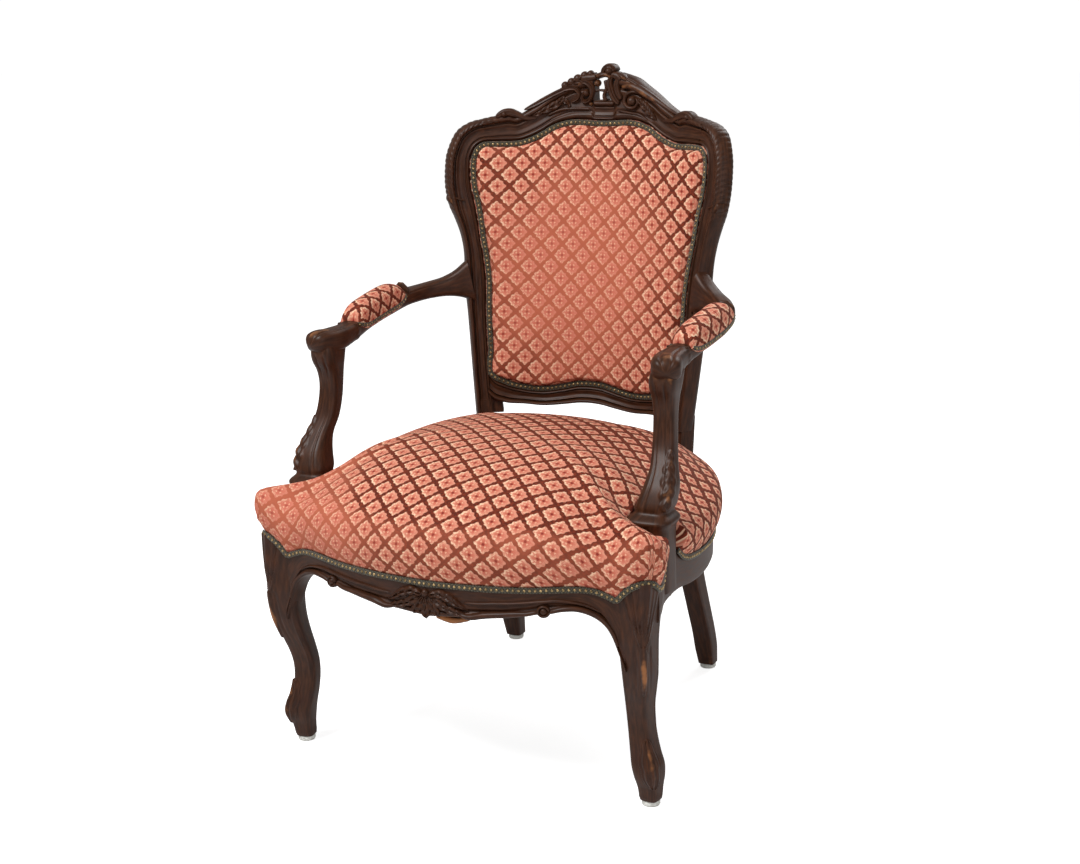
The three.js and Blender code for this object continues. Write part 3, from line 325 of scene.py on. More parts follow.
@dataclass
class Relief:
    """Carving that lies on a surface.

    Attributes:
        skin: the mesh that the carving joins.
        place: gives points in space from a place on the surface and a lift above it.
        wear_and_painted_light: how worn the carving is.
    """

    skin: Skin
    place: Place
    wear_and_painted_light: float = 0.25

    def ridge(
        self, path: list, width: list, height: list, base: float = 2.0, count: int = 40, groove: float = 0.0
    ) -> None:
        """A rounded ridge along a path: half an ellipse across, on a foot sunk into the surface.

        Args:
            path: points on the surface.
            width: full widths along the path.
            height: heights along the path.
            base: how far the foot is sunk.
            count: stations along the path.
            groove: share of the height that a groove along the middle takes away.
        """
        line = smooth_path(np.asarray(path, float), count)
        t = np.linspace(0, 1, count)
        w = np.interp(t, np.linspace(0, 1, len(width)), width) / 2
        h = np.interp(t, np.linspace(0, 1, len(height)), height)
        soft = np.sqrt(np.clip(1 - (2 * t - 1) ** 24, 0.02, 1))
        turn = np.linspace(0, np.pi, 13)
        side = np.r_[np.cos(turn), -0.9, 0.9]
        lift = np.r_[np.sin(turn) * (1 - groove * bell(np.cos(turn), 0, 0.35)), 0, 0]
        sunk = np.r_[np.zeros(13), 1, 1] * base
        normal = plane_normals(line)
        spot = line[:, None] + normal[:, None] * (side * (w * soft)[:, None])[..., None]
        rise = lift * (h * soft)[:, None] - sunk
        grid = self.place(spot[..., 0], spot[..., 1], rise)
        self.skin.add(grid, wear_and_painted_light=self.wear_and_painted_light * np.broadcast_to(lift, rise.shape))

    def leaf(self, path: list, width: float, height: float, lobes: int, count: int = 40, lean: float = 0.62) -> None:
        """An acanthus leaf: swelling width with scalloped lobes, raised ribs and a sunk midrib.

        Args:
            path: points on the surface from the stalk to the tip.
            width: greatest full width.
            height: lift of the ribs.
            lobes: lobes on each side.
            count: stations along the leaf.
            lean: place of the greatest width.
        """
        line = smooth_path(np.asarray(path, float), count)
        t = np.linspace(0, 1, count)
        swell = np.sin(np.pi * t ** (math.log(0.5) / math.log(1 - lean + 1e-6))) ** 0.8
        scallop = 0.78 + 0.22 * np.abs(np.sin(np.pi * lobes * t))
        w = width / 2 * np.clip(swell * scallop, 0.06, 1)
        c = np.linspace(-1, 1, 13)
        ribs = 0.5 + 0.5 * np.cos(2 * np.pi * (lobes * t[:, None] + 0.9 * np.abs(c)))
        crown = np.sqrt(np.clip(1 - c**2, 0, 1)) ** 0.7
        lift = height * (crown * (0.62 + 0.38 * ribs) - 0.35 * np.exp(-((c / 0.16) ** 2)))
        lift = lift * np.clip(swell[:, None] * 1.6, 0.2, 1)
        back = np.array([0.8, -0.8])
        side = np.r_[c, back]
        rise = np.concatenate([lift, np.full((count, 2), -2.0)], axis=1)
        normal = plane_normals(line)
        spot = line[:, None] + normal[:, None] * (side * w[:, None])[..., None]
        grid = self.place(spot[..., 0], spot[..., 1], rise)
        self.skin.add(grid, wear_and_painted_light=self.wear_and_painted_light * np.clip(rise / height, 0, 1))

    def volute(self, centre: tuple, radius: float, start: float, turns: float, width: float, height: float) -> None:
        """A scroll: a ridge whose path winds in on a spiral, with a domed eye.

        Args:
            centre: the eye's place on the surface.
            radius: the spiral's greatest radius.
            start: angle at which it starts, in turns.
            turns: how far it winds, with a sign.
            width: the ridge's greatest width.
            height: the ridge's height.
        """
        t = np.linspace(0, 1, 30)
        angle = 2 * np.pi * (start + turns * t)
        r = radius * (1 - 0.78 * t**0.8)
        path = np.column_stack([centre[0] + r * np.cos(angle), centre[1] + r * np.sin(angle)])
        self.ridge(path, [width, width * 0.9, width * 0.5], [height * 0.7, height, height], count=44)
        self.dome(centre, radius * 0.3, height * 1.15)

    def dome(self, centre: tuple, radius: float, height: float) -> None:
        """A round boss: half an ellipsoid on a sunk foot."""
        up = np.linspace(0, np.pi / 2 * 0.97, 7)
        round_ = np.linspace(0, 2 * np.pi, 20, endpoint=False)
        r = np.r_[radius, radius * np.cos(up)]
        lift = np.r_[-2.0, height * np.sin(up)]
        x = centre[0] + r[:, None] * np.cos(round_)
        z = centre[1] + r[:, None] * np.sin(round_)
        self.skin.add(self.place(x, z, np.broadcast_to(lift[:, None], x.shape)), wear_and_painted_light=self.wear_and_painted_light)


# Finishes


class Shader:
    """Short ways to lay out a material's nodes."""

    def __init__(self, name: str) -> None:
        """Starts a material with a Principled shader."""
        self.material = bpy.data.materials.new(name)
        self.material.use_nodes = True
        self.tree = self.material.node_tree
        self.nodes = self.tree.nodes
        self.surface = self.nodes["Principled BSDF"]

    def link(self, source: bpy.types.NodeSocket, target: bpy.types.NodeSocket) -> None:
        """Joins two sockets."""
        self.tree.links.new(source, target)

    def feed(self, socket: bpy.types.NodeSocket, value: object) -> None:
        """Sets a socket from a number, a colour or another socket."""
        if isinstance(value, bpy.types.NodeSocket):
            self.link(value, socket)
        elif isinstance(value, tuple) and len(value) == 3 and len(socket.default_value) == 4:
            socket.default_value = (*value, 1.0)
        else:
            socket.default_value = value

    def math(self, work: str, a: object, b: object = 0.0, c: object = 0.0) -> bpy.types.NodeSocket:
        """One step of arithmetic."""
        node = self.nodes.new("ShaderNodeMath")
        node.operation = work
        for socket, value in zip(node.inputs, (a, b, c)):
            self.feed(socket, value)
        return node.outputs[0]

    def mix(self, share: object, a: object, b: object) -> bpy.types.NodeSocket:
        """Mixes two colours."""
        node = self.nodes.new("ShaderNodeMix")
        node.data_type = "RGBA"
        node.clamp_factor = True
        self.feed(node.inputs[0], share)
        self.feed(node.inputs[6], a)
        self.feed(node.inputs[7], b)
        return node.outputs[2]

    def step(self, value: object, low: float, high: float, to: tuple = (0.0, 1.0)) -> bpy.types.NodeSocket:
        """Rises smoothly between two values."""
        node = self.nodes.new("ShaderNodeMapRange")
        node.interpolation_type = "SMOOTHSTEP"
        self.feed(node.inputs[0], value)
        node.inputs[1].default_value, node.inputs[2].default_value = low, high
        node.inputs[3].default_value, node.inputs[4].default_value = to
        return node.outputs[0]

    def coords(self, kind: str, scale: tuple = (1, 1, 1)) -> bpy.types.NodeSocket:
        """UV or Object coordinates, scaled."""
        where = self.nodes.new("ShaderNodeTexCoord")
        mapping = self.nodes.new("ShaderNodeMapping")
        mapping.inputs["Scale"].default_value = scale
        self.link(where.outputs[kind], mapping.inputs["Vector"])
        return mapping.outputs[0]

    def noise(self, at: bpy.types.NodeSocket, scale: float, detail: float = 3.0) -> bpy.types.NodeSocket:
        """Soft noise from 0 to 1."""
        node = self.nodes.new("ShaderNodeTexNoise")
        node.inputs["Scale"].default_value = scale
        node.inputs["Detail"].default_value = detail
        self.link(at, node.inputs["Vector"])
        return node.outputs["Fac"]

    def attribute(self, name: str) -> bpy.types.NodeSocket:
        """A value stored on the mesh."""
        node = self.nodes.new("ShaderNodeAttribute")
        node.attribute_name = name
        return node.outputs["Fac"]

    def bump(self, height: bpy.types.NodeSocket, strength: float, distance: float) -> None:
        """Relief in the surface's normal."""
        node = self.nodes.new("ShaderNodeBump")
        node.inputs["Strength"].default_value = strength
        node.inputs["Distance"].default_value = distance
        self.link(height, node.inputs["Height"])
        self.link(node.outputs[0], self.surface.inputs["Normal"])

    def set(self, **values: object) -> None:
        """Feeds the shader's sockets: words with underscores name them."""
        for name, value in values.items():
            self.feed(self.surface.inputs[name.replace("_", " ")], value)


@dataclass(frozen=True)
class StainedWood:
    """Dark stained wood with a satin finish, rubbed to orange-brown where it is worn."""

    name: str = "stained_wood"
    dark: tuple = (0.029, 0.0095, 0.0036)
    warm: tuple = (0.062, 0.0205, 0.0078)
    worn: tuple = (0.32, 0.125, 0.042)
    kind: str = "UV"

    def make(self) -> bpy.types.Material:
        """Builds the material: grain noise drawn out along the piece, pores, and wear from the mesh."""
        s = Shader(self.name)
        along = (1.0, 0.16, 1.0) if self.kind == "UV" else (1.0, 1.0, 0.2)
        at = s.coords(self.kind, along)
        grain = s.noise(at, 240.0, 4.0)
        broad = s.noise(s.coords(self.kind), 22.0, 3.0)
        spots = s.noise(s.coords("Object"), 60.0, 4.0)
        tone = s.mix(s.step(grain, 0.35, 0.72), self.dark, self.warm)
        tone = s.mix(s.math("MULTIPLY", s.step(broad, 0.45, 0.75), 0.5), tone, (0.036, 0.015, 0.011))
        wear_and_painted_light = s.attribute("wear_and_painted_light")
        rub = s.math("ADD", wear_and_painted_light, s.math("MULTIPLY", s.math("SUBTRACT", spots, 0.5), 0.9))
        tone = s.mix(s.math("MULTIPLY", s.step(rub, 0.42, 0.8), 0.85), tone, self.worn)
        rough = s.math("ADD", s.math("MULTIPLY", grain, 0.18), 0.33)
        s.set(Base_Color=tone, Roughness=rough, Specular_IOR_Level=0.22)
        s.bump(grain, 0.25, 0.0006)
        return s.material


@dataclass(frozen=True)
class TrellisVelvet:
    """Cut velvet: a rust-brown trellis, and in each diamond a lobed flower with a cream edge."""

    name: str = "trellis_velvet"
    diagonal: float = 0.0361
    line: tuple = (0.175, 0.027, 0.010)
    line_deep: tuple = (0.070, 0.013, 0.006)
    # Painted pile sheen: a lighter trellis colour where the pattern is softened.
    line_painted_sheen: tuple = (0.46, 0.125, 0.068)
    petal: tuple = (0.56, 0.145, 0.090)
    # Painted pile sheen: a lighter petal colour where the pattern is softened.
    petal_painted_sheen: tuple = (0.60, 0.175, 0.115)
    blush: tuple = (0.68, 0.25, 0.165)
    cream: tuple = (0.97, 0.70, 0.47)
    heart: tuple = (0.19, 0.016, 0.014)

    def make(self) -> bpy.types.Material:
        """Builds the material.

        Cell coordinates p and q are the sum and the difference of the cloth coordinates over the
        diagonal. The flower is a softened square about the cell's middle, whose radius is swelled
        by eight lobes and roughened by fine noise. What lies outside it is the trellis. The cream
        edge is the pattern's own, with a painted highlight that makes it stronger on one side.
        Where the mesh's value is above 0, painted pile sheen makes the pattern softer and lighter;
        below 0, painted pile shade shrinks the flowers and widens the dark trellis.

        Returns:
            The material.
        """
        s = Shader(self.name)
        split = s.nodes.new("ShaderNodeSeparateXYZ")
        s.link(s.coords("UV"), split.inputs[0])
        u, v = split.outputs[0], split.outputs[1]
        size = 1 / self.diagonal
        cells = []
        for work in ("ADD", "SUBTRACT"):
            p = s.math("MULTIPLY", s.math(work, u, v), size)
            cells.append(s.math("SUBTRACT", s.math("FRACT", p), 0.5))
        ap, aq = (s.math("ABSOLUTE", c) for c in cells)
        power = s.math("ADD", s.math("POWER", ap, 4.0), s.math("POWER", aq, 4.0))
        radius = s.math("POWER", power, 0.25)
        angle = s.math("ARCTAN2", cells[1], cells[0])
        fleck = s.noise(s.coords("UV"), 750.0, 2.0)
        lobes = s.math("COSINE", s.math("MULTIPLY", angle, 8.0))
        swell = s.math("ADD", s.math("MULTIPLY", lobes, -0.075), 1.0)
        ragged = s.math("MULTIPLY", s.math("SUBTRACT", fleck, 0.5), 0.10)
        rim = s.math("ADD", s.math("MULTIPLY", radius, swell), ragged)
        # Painted pile shade: where the mesh value is below 0 the flowers shrink and the dark trellis widens.
        closed = s.step(s.attribute("wear_and_painted_light"), -1.0, 0.0, (0.07, 0.0))
        rim = s.math("ADD", rim, closed)
        inside = s.math("SUBTRACT", 1.0, s.step(rim, 0.385, 0.415))
        border = s.math("MULTIPLY", inside, s.step(rim, 0.22, 0.34))
        # Painted highlight: the pattern's cream edge is made stronger on one side of each flower.
        slope = s.math("SUBTRACT", s.math("MULTIPLY", cells[1], -1.0), cells[0])
        painted_highlight_side = s.step(slope, -0.42, 0.30, (0.18, 1.0))
        patch = s.step(s.noise(s.coords("UV"), 340.0, 2.0), 0.40, 0.58, (0.12, 1.0))
        cream = s.math("MULTIPLY", s.math("MULTIPLY", border, painted_highlight_side), patch)
        six = s.math("COSINE", s.math("MULTIPLY", angle, 4.0))
        leaves = s.math("MULTIPLY", s.step(six, 0.2, 0.6), bell_ring(s, radius, 0.17, 0.05))
        heart = s.math("SUBTRACT", 1.0, s.step(s.math("ADD", radius, ragged), 0.055, 0.095))
        # Painted pile sheen: where the mesh value is high, with cloudy noise, trellis and petals turn lighter and
        # softer, and the cream edge and heart fade.
        soft = s.attribute("wear_and_painted_light")
        cloudy = s.noise(s.coords("Object"), 14.0, 2.0)
        soft = s.math("ADD", soft, s.math("MULTIPLY", s.math("SUBTRACT", cloudy, 0.5), 0.6))
        trellis = s.mix(s.step(s.noise(s.coords("UV"), 260.0, 2.0), 0.4, 0.62), self.line_deep, self.line)
        trellis = s.mix(s.step(soft, 0.15, 0.9), trellis, self.line_painted_sheen)
        flower = s.mix(s.step(radius, 0.1, 0.3), self.petal, self.blush)
        flower = s.mix(s.step(soft, 0.15, 0.9, (0.0, 0.8)), flower, self.petal_painted_sheen)
        flower = s.mix(s.step(fleck, 0.36, 0.5, (0.55, 0.0)), flower, self.petal)
        flower = s.mix(s.math("MULTIPLY", leaves, 0.5), flower, self.cream)
        flower = s.mix(s.math("MULTIPLY", cream, s.step(soft, 0.2, 1.0, (1.0, 0.5))), flower, self.cream)
        flower = s.mix(s.math("MULTIPLY", heart, s.step(soft, 0.2, 1.0, (0.9, 0.45))), flower, self.heart)
        tone = s.mix(inside, trellis, flower)
        pile = s.noise(s.coords("UV"), 2600.0, 2.0)
        tone = s.mix(s.step(pile, 0.3, 0.7, (0.3, 0.0)), tone, (0.22, 0.035, 0.022))
        s.set(Base_Color=tone, Roughness=0.82, Sheen_Weight=0.07, Sheen_Roughness=0.45)
        s.set(Sheen_Tint=(1.0, 0.66, 0.52), Specular_IOR_Level=0.15)
        raised = s.math("SUBTRACT", 1.0, s.math("MULTIPLY", inside, 0.75))
        s.bump(s.math("ADD", raised, s.math("MULTIPLY", pile, 0.4)), 0.6, 0.0008)
        return s.material


def bell_ring(s: Shader, value: bpy.types.NodeSocket, centre: float, reach: float) -> bpy.types.NodeSocket:
    """A band round a value: 1 at the centre and 0 beyond the reach."""
    away = s.math("ABSOLUTE", s.math("SUBTRACT", value, centre))
    return s.math("SUBTRACT", 1.0, s.step(away, reach * 0.5, reach))


@dataclass(frozen=True)
class PlainCloth:
    """A plain woven cloth."""

    name: str
    light: tuple
    dark: tuple
    thread: float
    relief: float = 0.0006
    rough: float = 0.9

    def make(self) -> bpy.types.Material:
        """Builds the material: threads over and under in two directions, with loose flecks."""
        s = Shader(self.name)
        at = s.coords("Object")
        split = s.nodes.new("ShaderNodeSeparateXYZ")
        s.link(at, split.inputs[0])
        scale = 2 * math.pi / self.thread
        across = s.math("SINE", s.math("MULTIPLY", split.outputs[0], scale))
        diagonal = s.math("ADD", split.outputs[1], split.outputs[2])
        along = s.math("SINE", s.math("MULTIPLY", diagonal, scale))
        weave = s.math("ADD", s.math("MULTIPLY", s.math("MULTIPLY", across, along), 0.5), 0.5)
        fleck = s.noise(at, 300.0, 3.0)
        tone = s.mix(s.math("MULTIPLY", s.math("ADD", weave, fleck), 0.5), self.dark, self.light)
        s.set(Base_Color=tone, Roughness=self.rough, Specular_IOR_Level=0.2)
        s.bump(weave, 0.4, self.relief)
        return s.material


@dataclass(frozen=True)
class BraidThread:
    """Olive braid: looped threads across a narrow band, with a gold fleck."""

    name: str = "olive_braid"
    deep: tuple = (0.010, 0.009, 0.005)
    light: tuple = (0.085, 0.066, 0.028)
    pitch: float = 0.0042

    def make(self) -> bpy.types.Material:
        """Builds the material: slanted waves along the band, crossed by their mirror image."""
        s = Shader(self.name)
        split = s.nodes.new("ShaderNodeSeparateXYZ")
        s.link(s.coords("UV"), split.inputs[0])
        u, v = split.outputs[0], split.outputs[1]
        waves = []
        for sign in (1.0, -1.0):
            phase = s.math("MULTIPLY", s.math("MULTIPLY_ADD", u, sign, v), 2 * math.pi / self.pitch)
            waves.append(s.math("SINE", phase))
        loops = s.math("MAXIMUM", waves[0], waves[1])
        lump = s.step(loops, -0.3, 1.0)
        fleck = s.noise(s.coords("Object"), 700.0, 2.0)
        tone = s.mix(s.math("MULTIPLY", lump, s.step(fleck, 0.3, 0.7, (0.4, 1.0))), self.deep, self.light)
        s.set(Base_Color=tone, Roughness=0.7, Sheen_Weight=0.2)
        s.bump(lump, 0.8, 0.0009)
        return s.material


@dataclass(frozen=True)
class Metal:
    """A plain metal with slight tarnish."""

    name: str
    bright: tuple
    dull: tuple
    rough: float
    metallic: float = 1.0

    def make(self) -> bpy.types.Material:
        """Builds the material: tarnish in soft clouds."""
        s = Shader(self.name)
        cloud = s.noise(s.coords("Object"), 260.0, 4.0)
        s.set(Base_Color=s.mix(s.step(cloud, 0.35, 0.7), self.bright, self.dull))
        s.set(Roughness=s.math("ADD", s.math("MULTIPLY", cloud, 0.25), self.rough), Metallic=self.metallic)
        s.bump(cloud, 0.15, 0.0003)
        return s.material


@dataclass(frozen=True)
class RawWood:
    """Unfinished beech, yellow-brown with age."""

    name: str = "raw_beech"

    def make(self) -> bpy.types.Material:
        """Builds the material: fine grain drawn out along the rail."""
        s = Shader(self.name)
        grain = s.noise(s.coords("Object", (0.2, 1.0, 1.0)), 260.0, 4.0)
        blotch = s.noise(s.coords("Object"), 30.0, 3.0)
        tone = s.mix(grain, (0.30, 0.13, 0.045), (0.46, 0.24, 0.10))
        tone = s.mix(s.step(blotch, 0.5, 0.8, (0.0, 0.5)), tone, (0.12, 0.05, 0.02))
        s.set(Base_Color=tone, Roughness=0.75)
        s.bump(grain, 0.3, 0.0005)
        return s.material


# The chair's measured lines, as shares of its sizes

BACK_LINES = np.array(
    [
        [0.777, 0.439, 0.668, 0.439],
        [0.808, 0.510, 0.712, 0.510],
        [0.847, 0.602, 0.747, 0.602],
        [0.873, 0.653, 0.755, 0.653],
        [0.882, 0.699, 0.777, 0.694],
        [0.904, 0.730, 0.803, 0.727],
        [0.939, 0.757, 0.821, 0.755],
        [0.974, 0.781, 0.838, 0.778],
        [0.996, 0.811, 0.865, 0.806],
        [1.000, 0.842, 0.878, 0.832],
        [0.991, 0.867, 0.878, 0.855],
        [0.952, 0.896, 0.860, 0.870],
        [0.891, 0.910, 0.825, 0.879],
        [0.821, 0.916, 0.782, 0.882],
        [0.668, 0.924, 0.655, 0.882],
        [0.611, 0.921, 0.581, 0.883],
        [0.541, 0.930, 0.511, 0.888],
        [0.463, 0.941, 0.441, 0.896],
        [0.384, 0.955, 0.371, 0.906],
        [0.297, 0.969, 0.288, 0.913],
        [0.201, 0.982, 0.192, 0.916],
        [0.000, 0.992, 0.000, 0.914],
    ]
)
BOTTOM_RAIL = np.array(
    [
        [0.000, 0.487, 0.459],
        [0.080, 0.486, 0.458],
        [0.200, 0.480, 0.454],
        [0.340, 0.475, 0.451],
        [0.470, 0.477, 0.453],
        [0.600, 0.485, 0.455],
        [0.680, 0.496, 0.462],
        [0.710, 0.506, 0.470],
    ]
)
REAR_LEG = np.array(
    [
        [0.025, 0.777, 1.000],
        [0.180, 0.773, 0.938],
        [0.350, 0.764, 0.844],
        [0.520, 0.755, 0.750],
        [0.700, 0.747, 0.676],
        [0.850, 0.740, 0.631],
        [1.000, 0.733, 0.605],
    ]
)
FRONT_LEG = np.array(
    [
        [0.024, 0.933, 0.691, 0.435],
        [0.087, 0.935, 0.700, 0.500],
        [0.133, 0.935, 0.709, 0.590],
        [0.180, 0.930, 0.712, 0.632],
        [0.232, 0.915, 0.706, 0.587],
        [0.304, 0.900, 0.702, 0.542],
        [0.377, 0.895, 0.709, 0.535],
        [0.449, 0.900, 0.728, 0.558],
        [0.522, 0.912, 0.752, 0.619],
        [0.594, 0.922, 0.772, 0.677],
        [0.667, 0.925, 0.784, 0.719],
        [0.739, 0.923, 0.787, 0.768],
        [0.812, 0.920, 0.779, 0.839],
        [0.884, 0.922, 0.772, 0.935],
        [0.950, 0.923, 0.767, 1.000],
    ]
)
SEAT_PLAN = np.array(
    [
        [0.000, -1.000],
        [0.130, -0.995],
        [0.260, -0.983],
        [0.390, -0.962],
        [0.520, -0.934],
        [0.640, -0.900],
        [0.760, -0.862],
        [0.860, -0.853],
        [0.930, -0.853],
        [0.978, -0.845],
        [1.006, -0.822],
        [1.014, -0.785],
        [0.998, -0.715],
        [0.978, -0.640],
        [0.974, -0.520],
        [0.977, -0.370],
        [0.970, -0.240],
        [0.950, -0.110],
        [0.908, 0.030],
        [0.833, 0.175],
        [0.733, 0.305],
        [0.610, 0.400],
    ]
)
FRONT_LOW = np.array(
    [
        [0.00, 0.788],
        [0.13, 0.797],
        [0.26, 0.804],
        [0.39, 0.812],
        [0.52, 0.832],
        [0.60, 0.848],
        [0.68, 0.850],
        [0.74, 0.832],
        [0.79, 0.797],
        [0.83, 0.742],
        [0.86, 0.672],
        [0.89, 0.600],
    ]
)
FRONT_BRAID = np.array(
    [
        [0.00, 0.936],
        [0.20, 0.938],
        [0.37, 0.939],
        [0.50, 0.942],
        [0.60, 0.947],
        [0.69, 0.948],
        [0.77, 0.938],
        [0.82, 0.923],
        [0.855, 0.914],
        [0.885, 0.942],
        [0.92, 0.968],
        [0.97, 0.990],
        [1.05, 0.985],
    ]
)
SIDE_BRAID = np.array(
    [
        [-0.90, 0.985],
        [-0.80, 0.960],
        [-0.74, 0.945],
        [-0.70, 0.955],
        [-0.67, 0.990],
        [-0.64, 1.040],
        [-0.54, 1.040],
        [-0.51, 1.015],
        [-0.47, 0.982],
        [-0.42, 0.960],
        [-0.34, 0.945],
        [-0.20, 0.933],
        [0.45, 0.925],
    ]
)
SUPPORT = np.array(
    [
        [300.0, 0.905, 0.590, 1.04, 1.20],
        [360.0, 0.899, 0.590, 1.10, 1.20],
        [388.0, 0.895, 0.588, 1.16, 1.22],
        [399.0, 0.894, 0.586, 1.22, 1.27],
        [409.0, 0.899, 0.578, 1.08, 1.10],
        [424.0, 0.908, 0.565, 1.02, 1.04],
        [442.0, 0.916, 0.545, 0.92, 0.94],
        [461.0, 0.912, 0.515, 0.75, 0.75],
        [485.0, 0.897, 0.474, 0.67, 0.66],
        [514.0, 0.888, 0.450, 0.64, 0.63],
        [540.0, 0.886, 0.443, 0.66, 0.66],
        [556.0, 0.887, 0.446, 0.72, 0.78],
        [568.0, 0.889, 0.452, 0.80, 0.96],
        [580.0, 0.891, 0.450, 0.81, 1.12],
        [590.0, 0.893, 0.442, 0.76, 1.20],
        [598.0, 0.893, 0.436, 0.60, 1.10],
        [603.0, 0.893, 0.436, 0.35, 0.80],
    ]
)
ARM_PATH = np.array(
    [
        [0.930, -0.532, 0.604],
        [0.915, -0.500, 0.608],
        [0.890, -0.440, 0.609],
        [0.880, -0.350, 0.612],
        [0.897, -0.180, 0.622],
        [0.907, 0.010, 0.632],
        [0.893, 0.180, 0.640],
        [0.835, 0.290, 0.645],
        [0.755, 0.360, 0.650],
        [0.655, 0.418, 0.657],
    ]
)
ARM_SIZE = np.array(
    [
        [0.00, 1.15, 1.00],
        [0.05, 1.38, 1.32],
        [0.12, 1.36, 1.28],
        [0.22, 1.15, 1.05],
        [0.35, 1.08, 1.00],
        [0.60, 1.08, 1.00],
        [0.72, 1.00, 0.95],
        [0.82, 0.95, 1.00],
        [0.90, 0.98, 1.25],
        [0.95, 1.05, 1.75],
        [0.98, 1.10, 2.25],
        [1.00, 1.10, 2.60],
    ]
)
FRAME_FACE = np.array(
    [
        [0.00, 3.5],
        [0.04, 0.8],
        [0.09, -0.8],
        [0.14, 0.6],
        [0.18, 3.2],
        [0.22, 1.4],
        [0.30, 1.8],
        [0.42, 2.8],
        [0.54, 1.6],
        [0.60, 0.2],
        [0.64, 0.8],
        [0.68, 4.4],
        [0.72, 1.0],
        [0.78, -2.2],
        [0.85, -3.0],
        [0.92, -1.4],
        [0.97, 2.6],
        [1.00, 7.0],
    ]
)


def back_height(share: np.ndarray) -> np.ndarray:
    """Height of a point of the back, from its share of the whole height."""
    foot = 430.2
    return foot + (OVERALL_HEIGHT - foot) * (np.asarray(share) - 0.439) / 0.561


def back_lines(stations: np.ndarray) -> np.ndarray:
    """Outer and reveal points of the back frame, from the right foot over the crest to the left foot."""
    right = BACK_LINES.copy()
    left = right[:-1][::-1] * [-1, 1, -1, 1]
    rows = np.column_stack([np.arange(43), np.vstack([right, left])])
    values = read_table(rows, stations)
    return values * [BACK_HALF_WIDTH, 1, BACK_HALF_WIDTH, 1] * [1, 0, 1, 0] + np.column_stack(
        [np.zeros(len(values)), back_height(values[:, 1]), np.zeros(len(values)), back_height(values[:, 3])]
    )


def plan_line(stations: np.ndarray) -> np.ndarray:
    """Points of the rails' outer line in plan, in millimetres."""
    rows = np.column_stack([np.arange(len(SEAT_PLAN)), SEAT_PLAN])
    return read_table(rows, stations) * [FRONT_HALF_WIDTH, SEAT_DEPTH]


def front_y(x: np.ndarray) -> np.ndarray:
    """The front rail's outer face: y at each x."""
    rows = np.vstack([SEAT_PLAN[:7], [0.845, -0.846], [0.93, -0.835]])
    return read_one(rows, np.abs(x) / FRONT_HALF_WIDTH) * SEAT_DEPTH


def on_front(x: np.ndarray, z: np.ndarray, lift: np.ndarray) -> np.ndarray:
    """A place on the front rail's face, lifted outwards."""
    x, z, lift = np.broadcast_arrays(np.asarray(x, float), np.asarray(z, float), np.asarray(lift, float))
    slope = (front_y(x + 1) - front_y(x - 1)) / 2
    size = np.sqrt(1 + slope**2)
    return np.stack([x + lift * slope / size, front_y(x) - lift / size, z], axis=-1)


def seat_foot(x: np.ndarray, y: np.ndarray) -> np.ndarray:
    """Height of the line where the seat's cloth ends: it steps up at the legs and at the arm supports."""
    front = read_one(FRONT_BRAID, np.minimum(np.abs(x) / FRONT_HALF_WIDTH, 1.05)) * RAIL_TOP
    side = read_one(SIDE_BRAID, np.asarray(y) / SEAT_DEPTH) * RAIL_TOP
    share = ease(-np.asarray(y) / SEAT_DEPTH, 0.78, 0.84)
    return side + (front - side) * share


# Show-wood pieces


@dataclass(frozen=True)
class FrameSizes:
    """Sizes of the back frame's moulding."""

    rebate: float = 14.0
    thickness: float = 28.0
    pitch: float = 8.4
    rib: float = 1.5
    window: tuple = (-16.0, 18.0, 927.0)


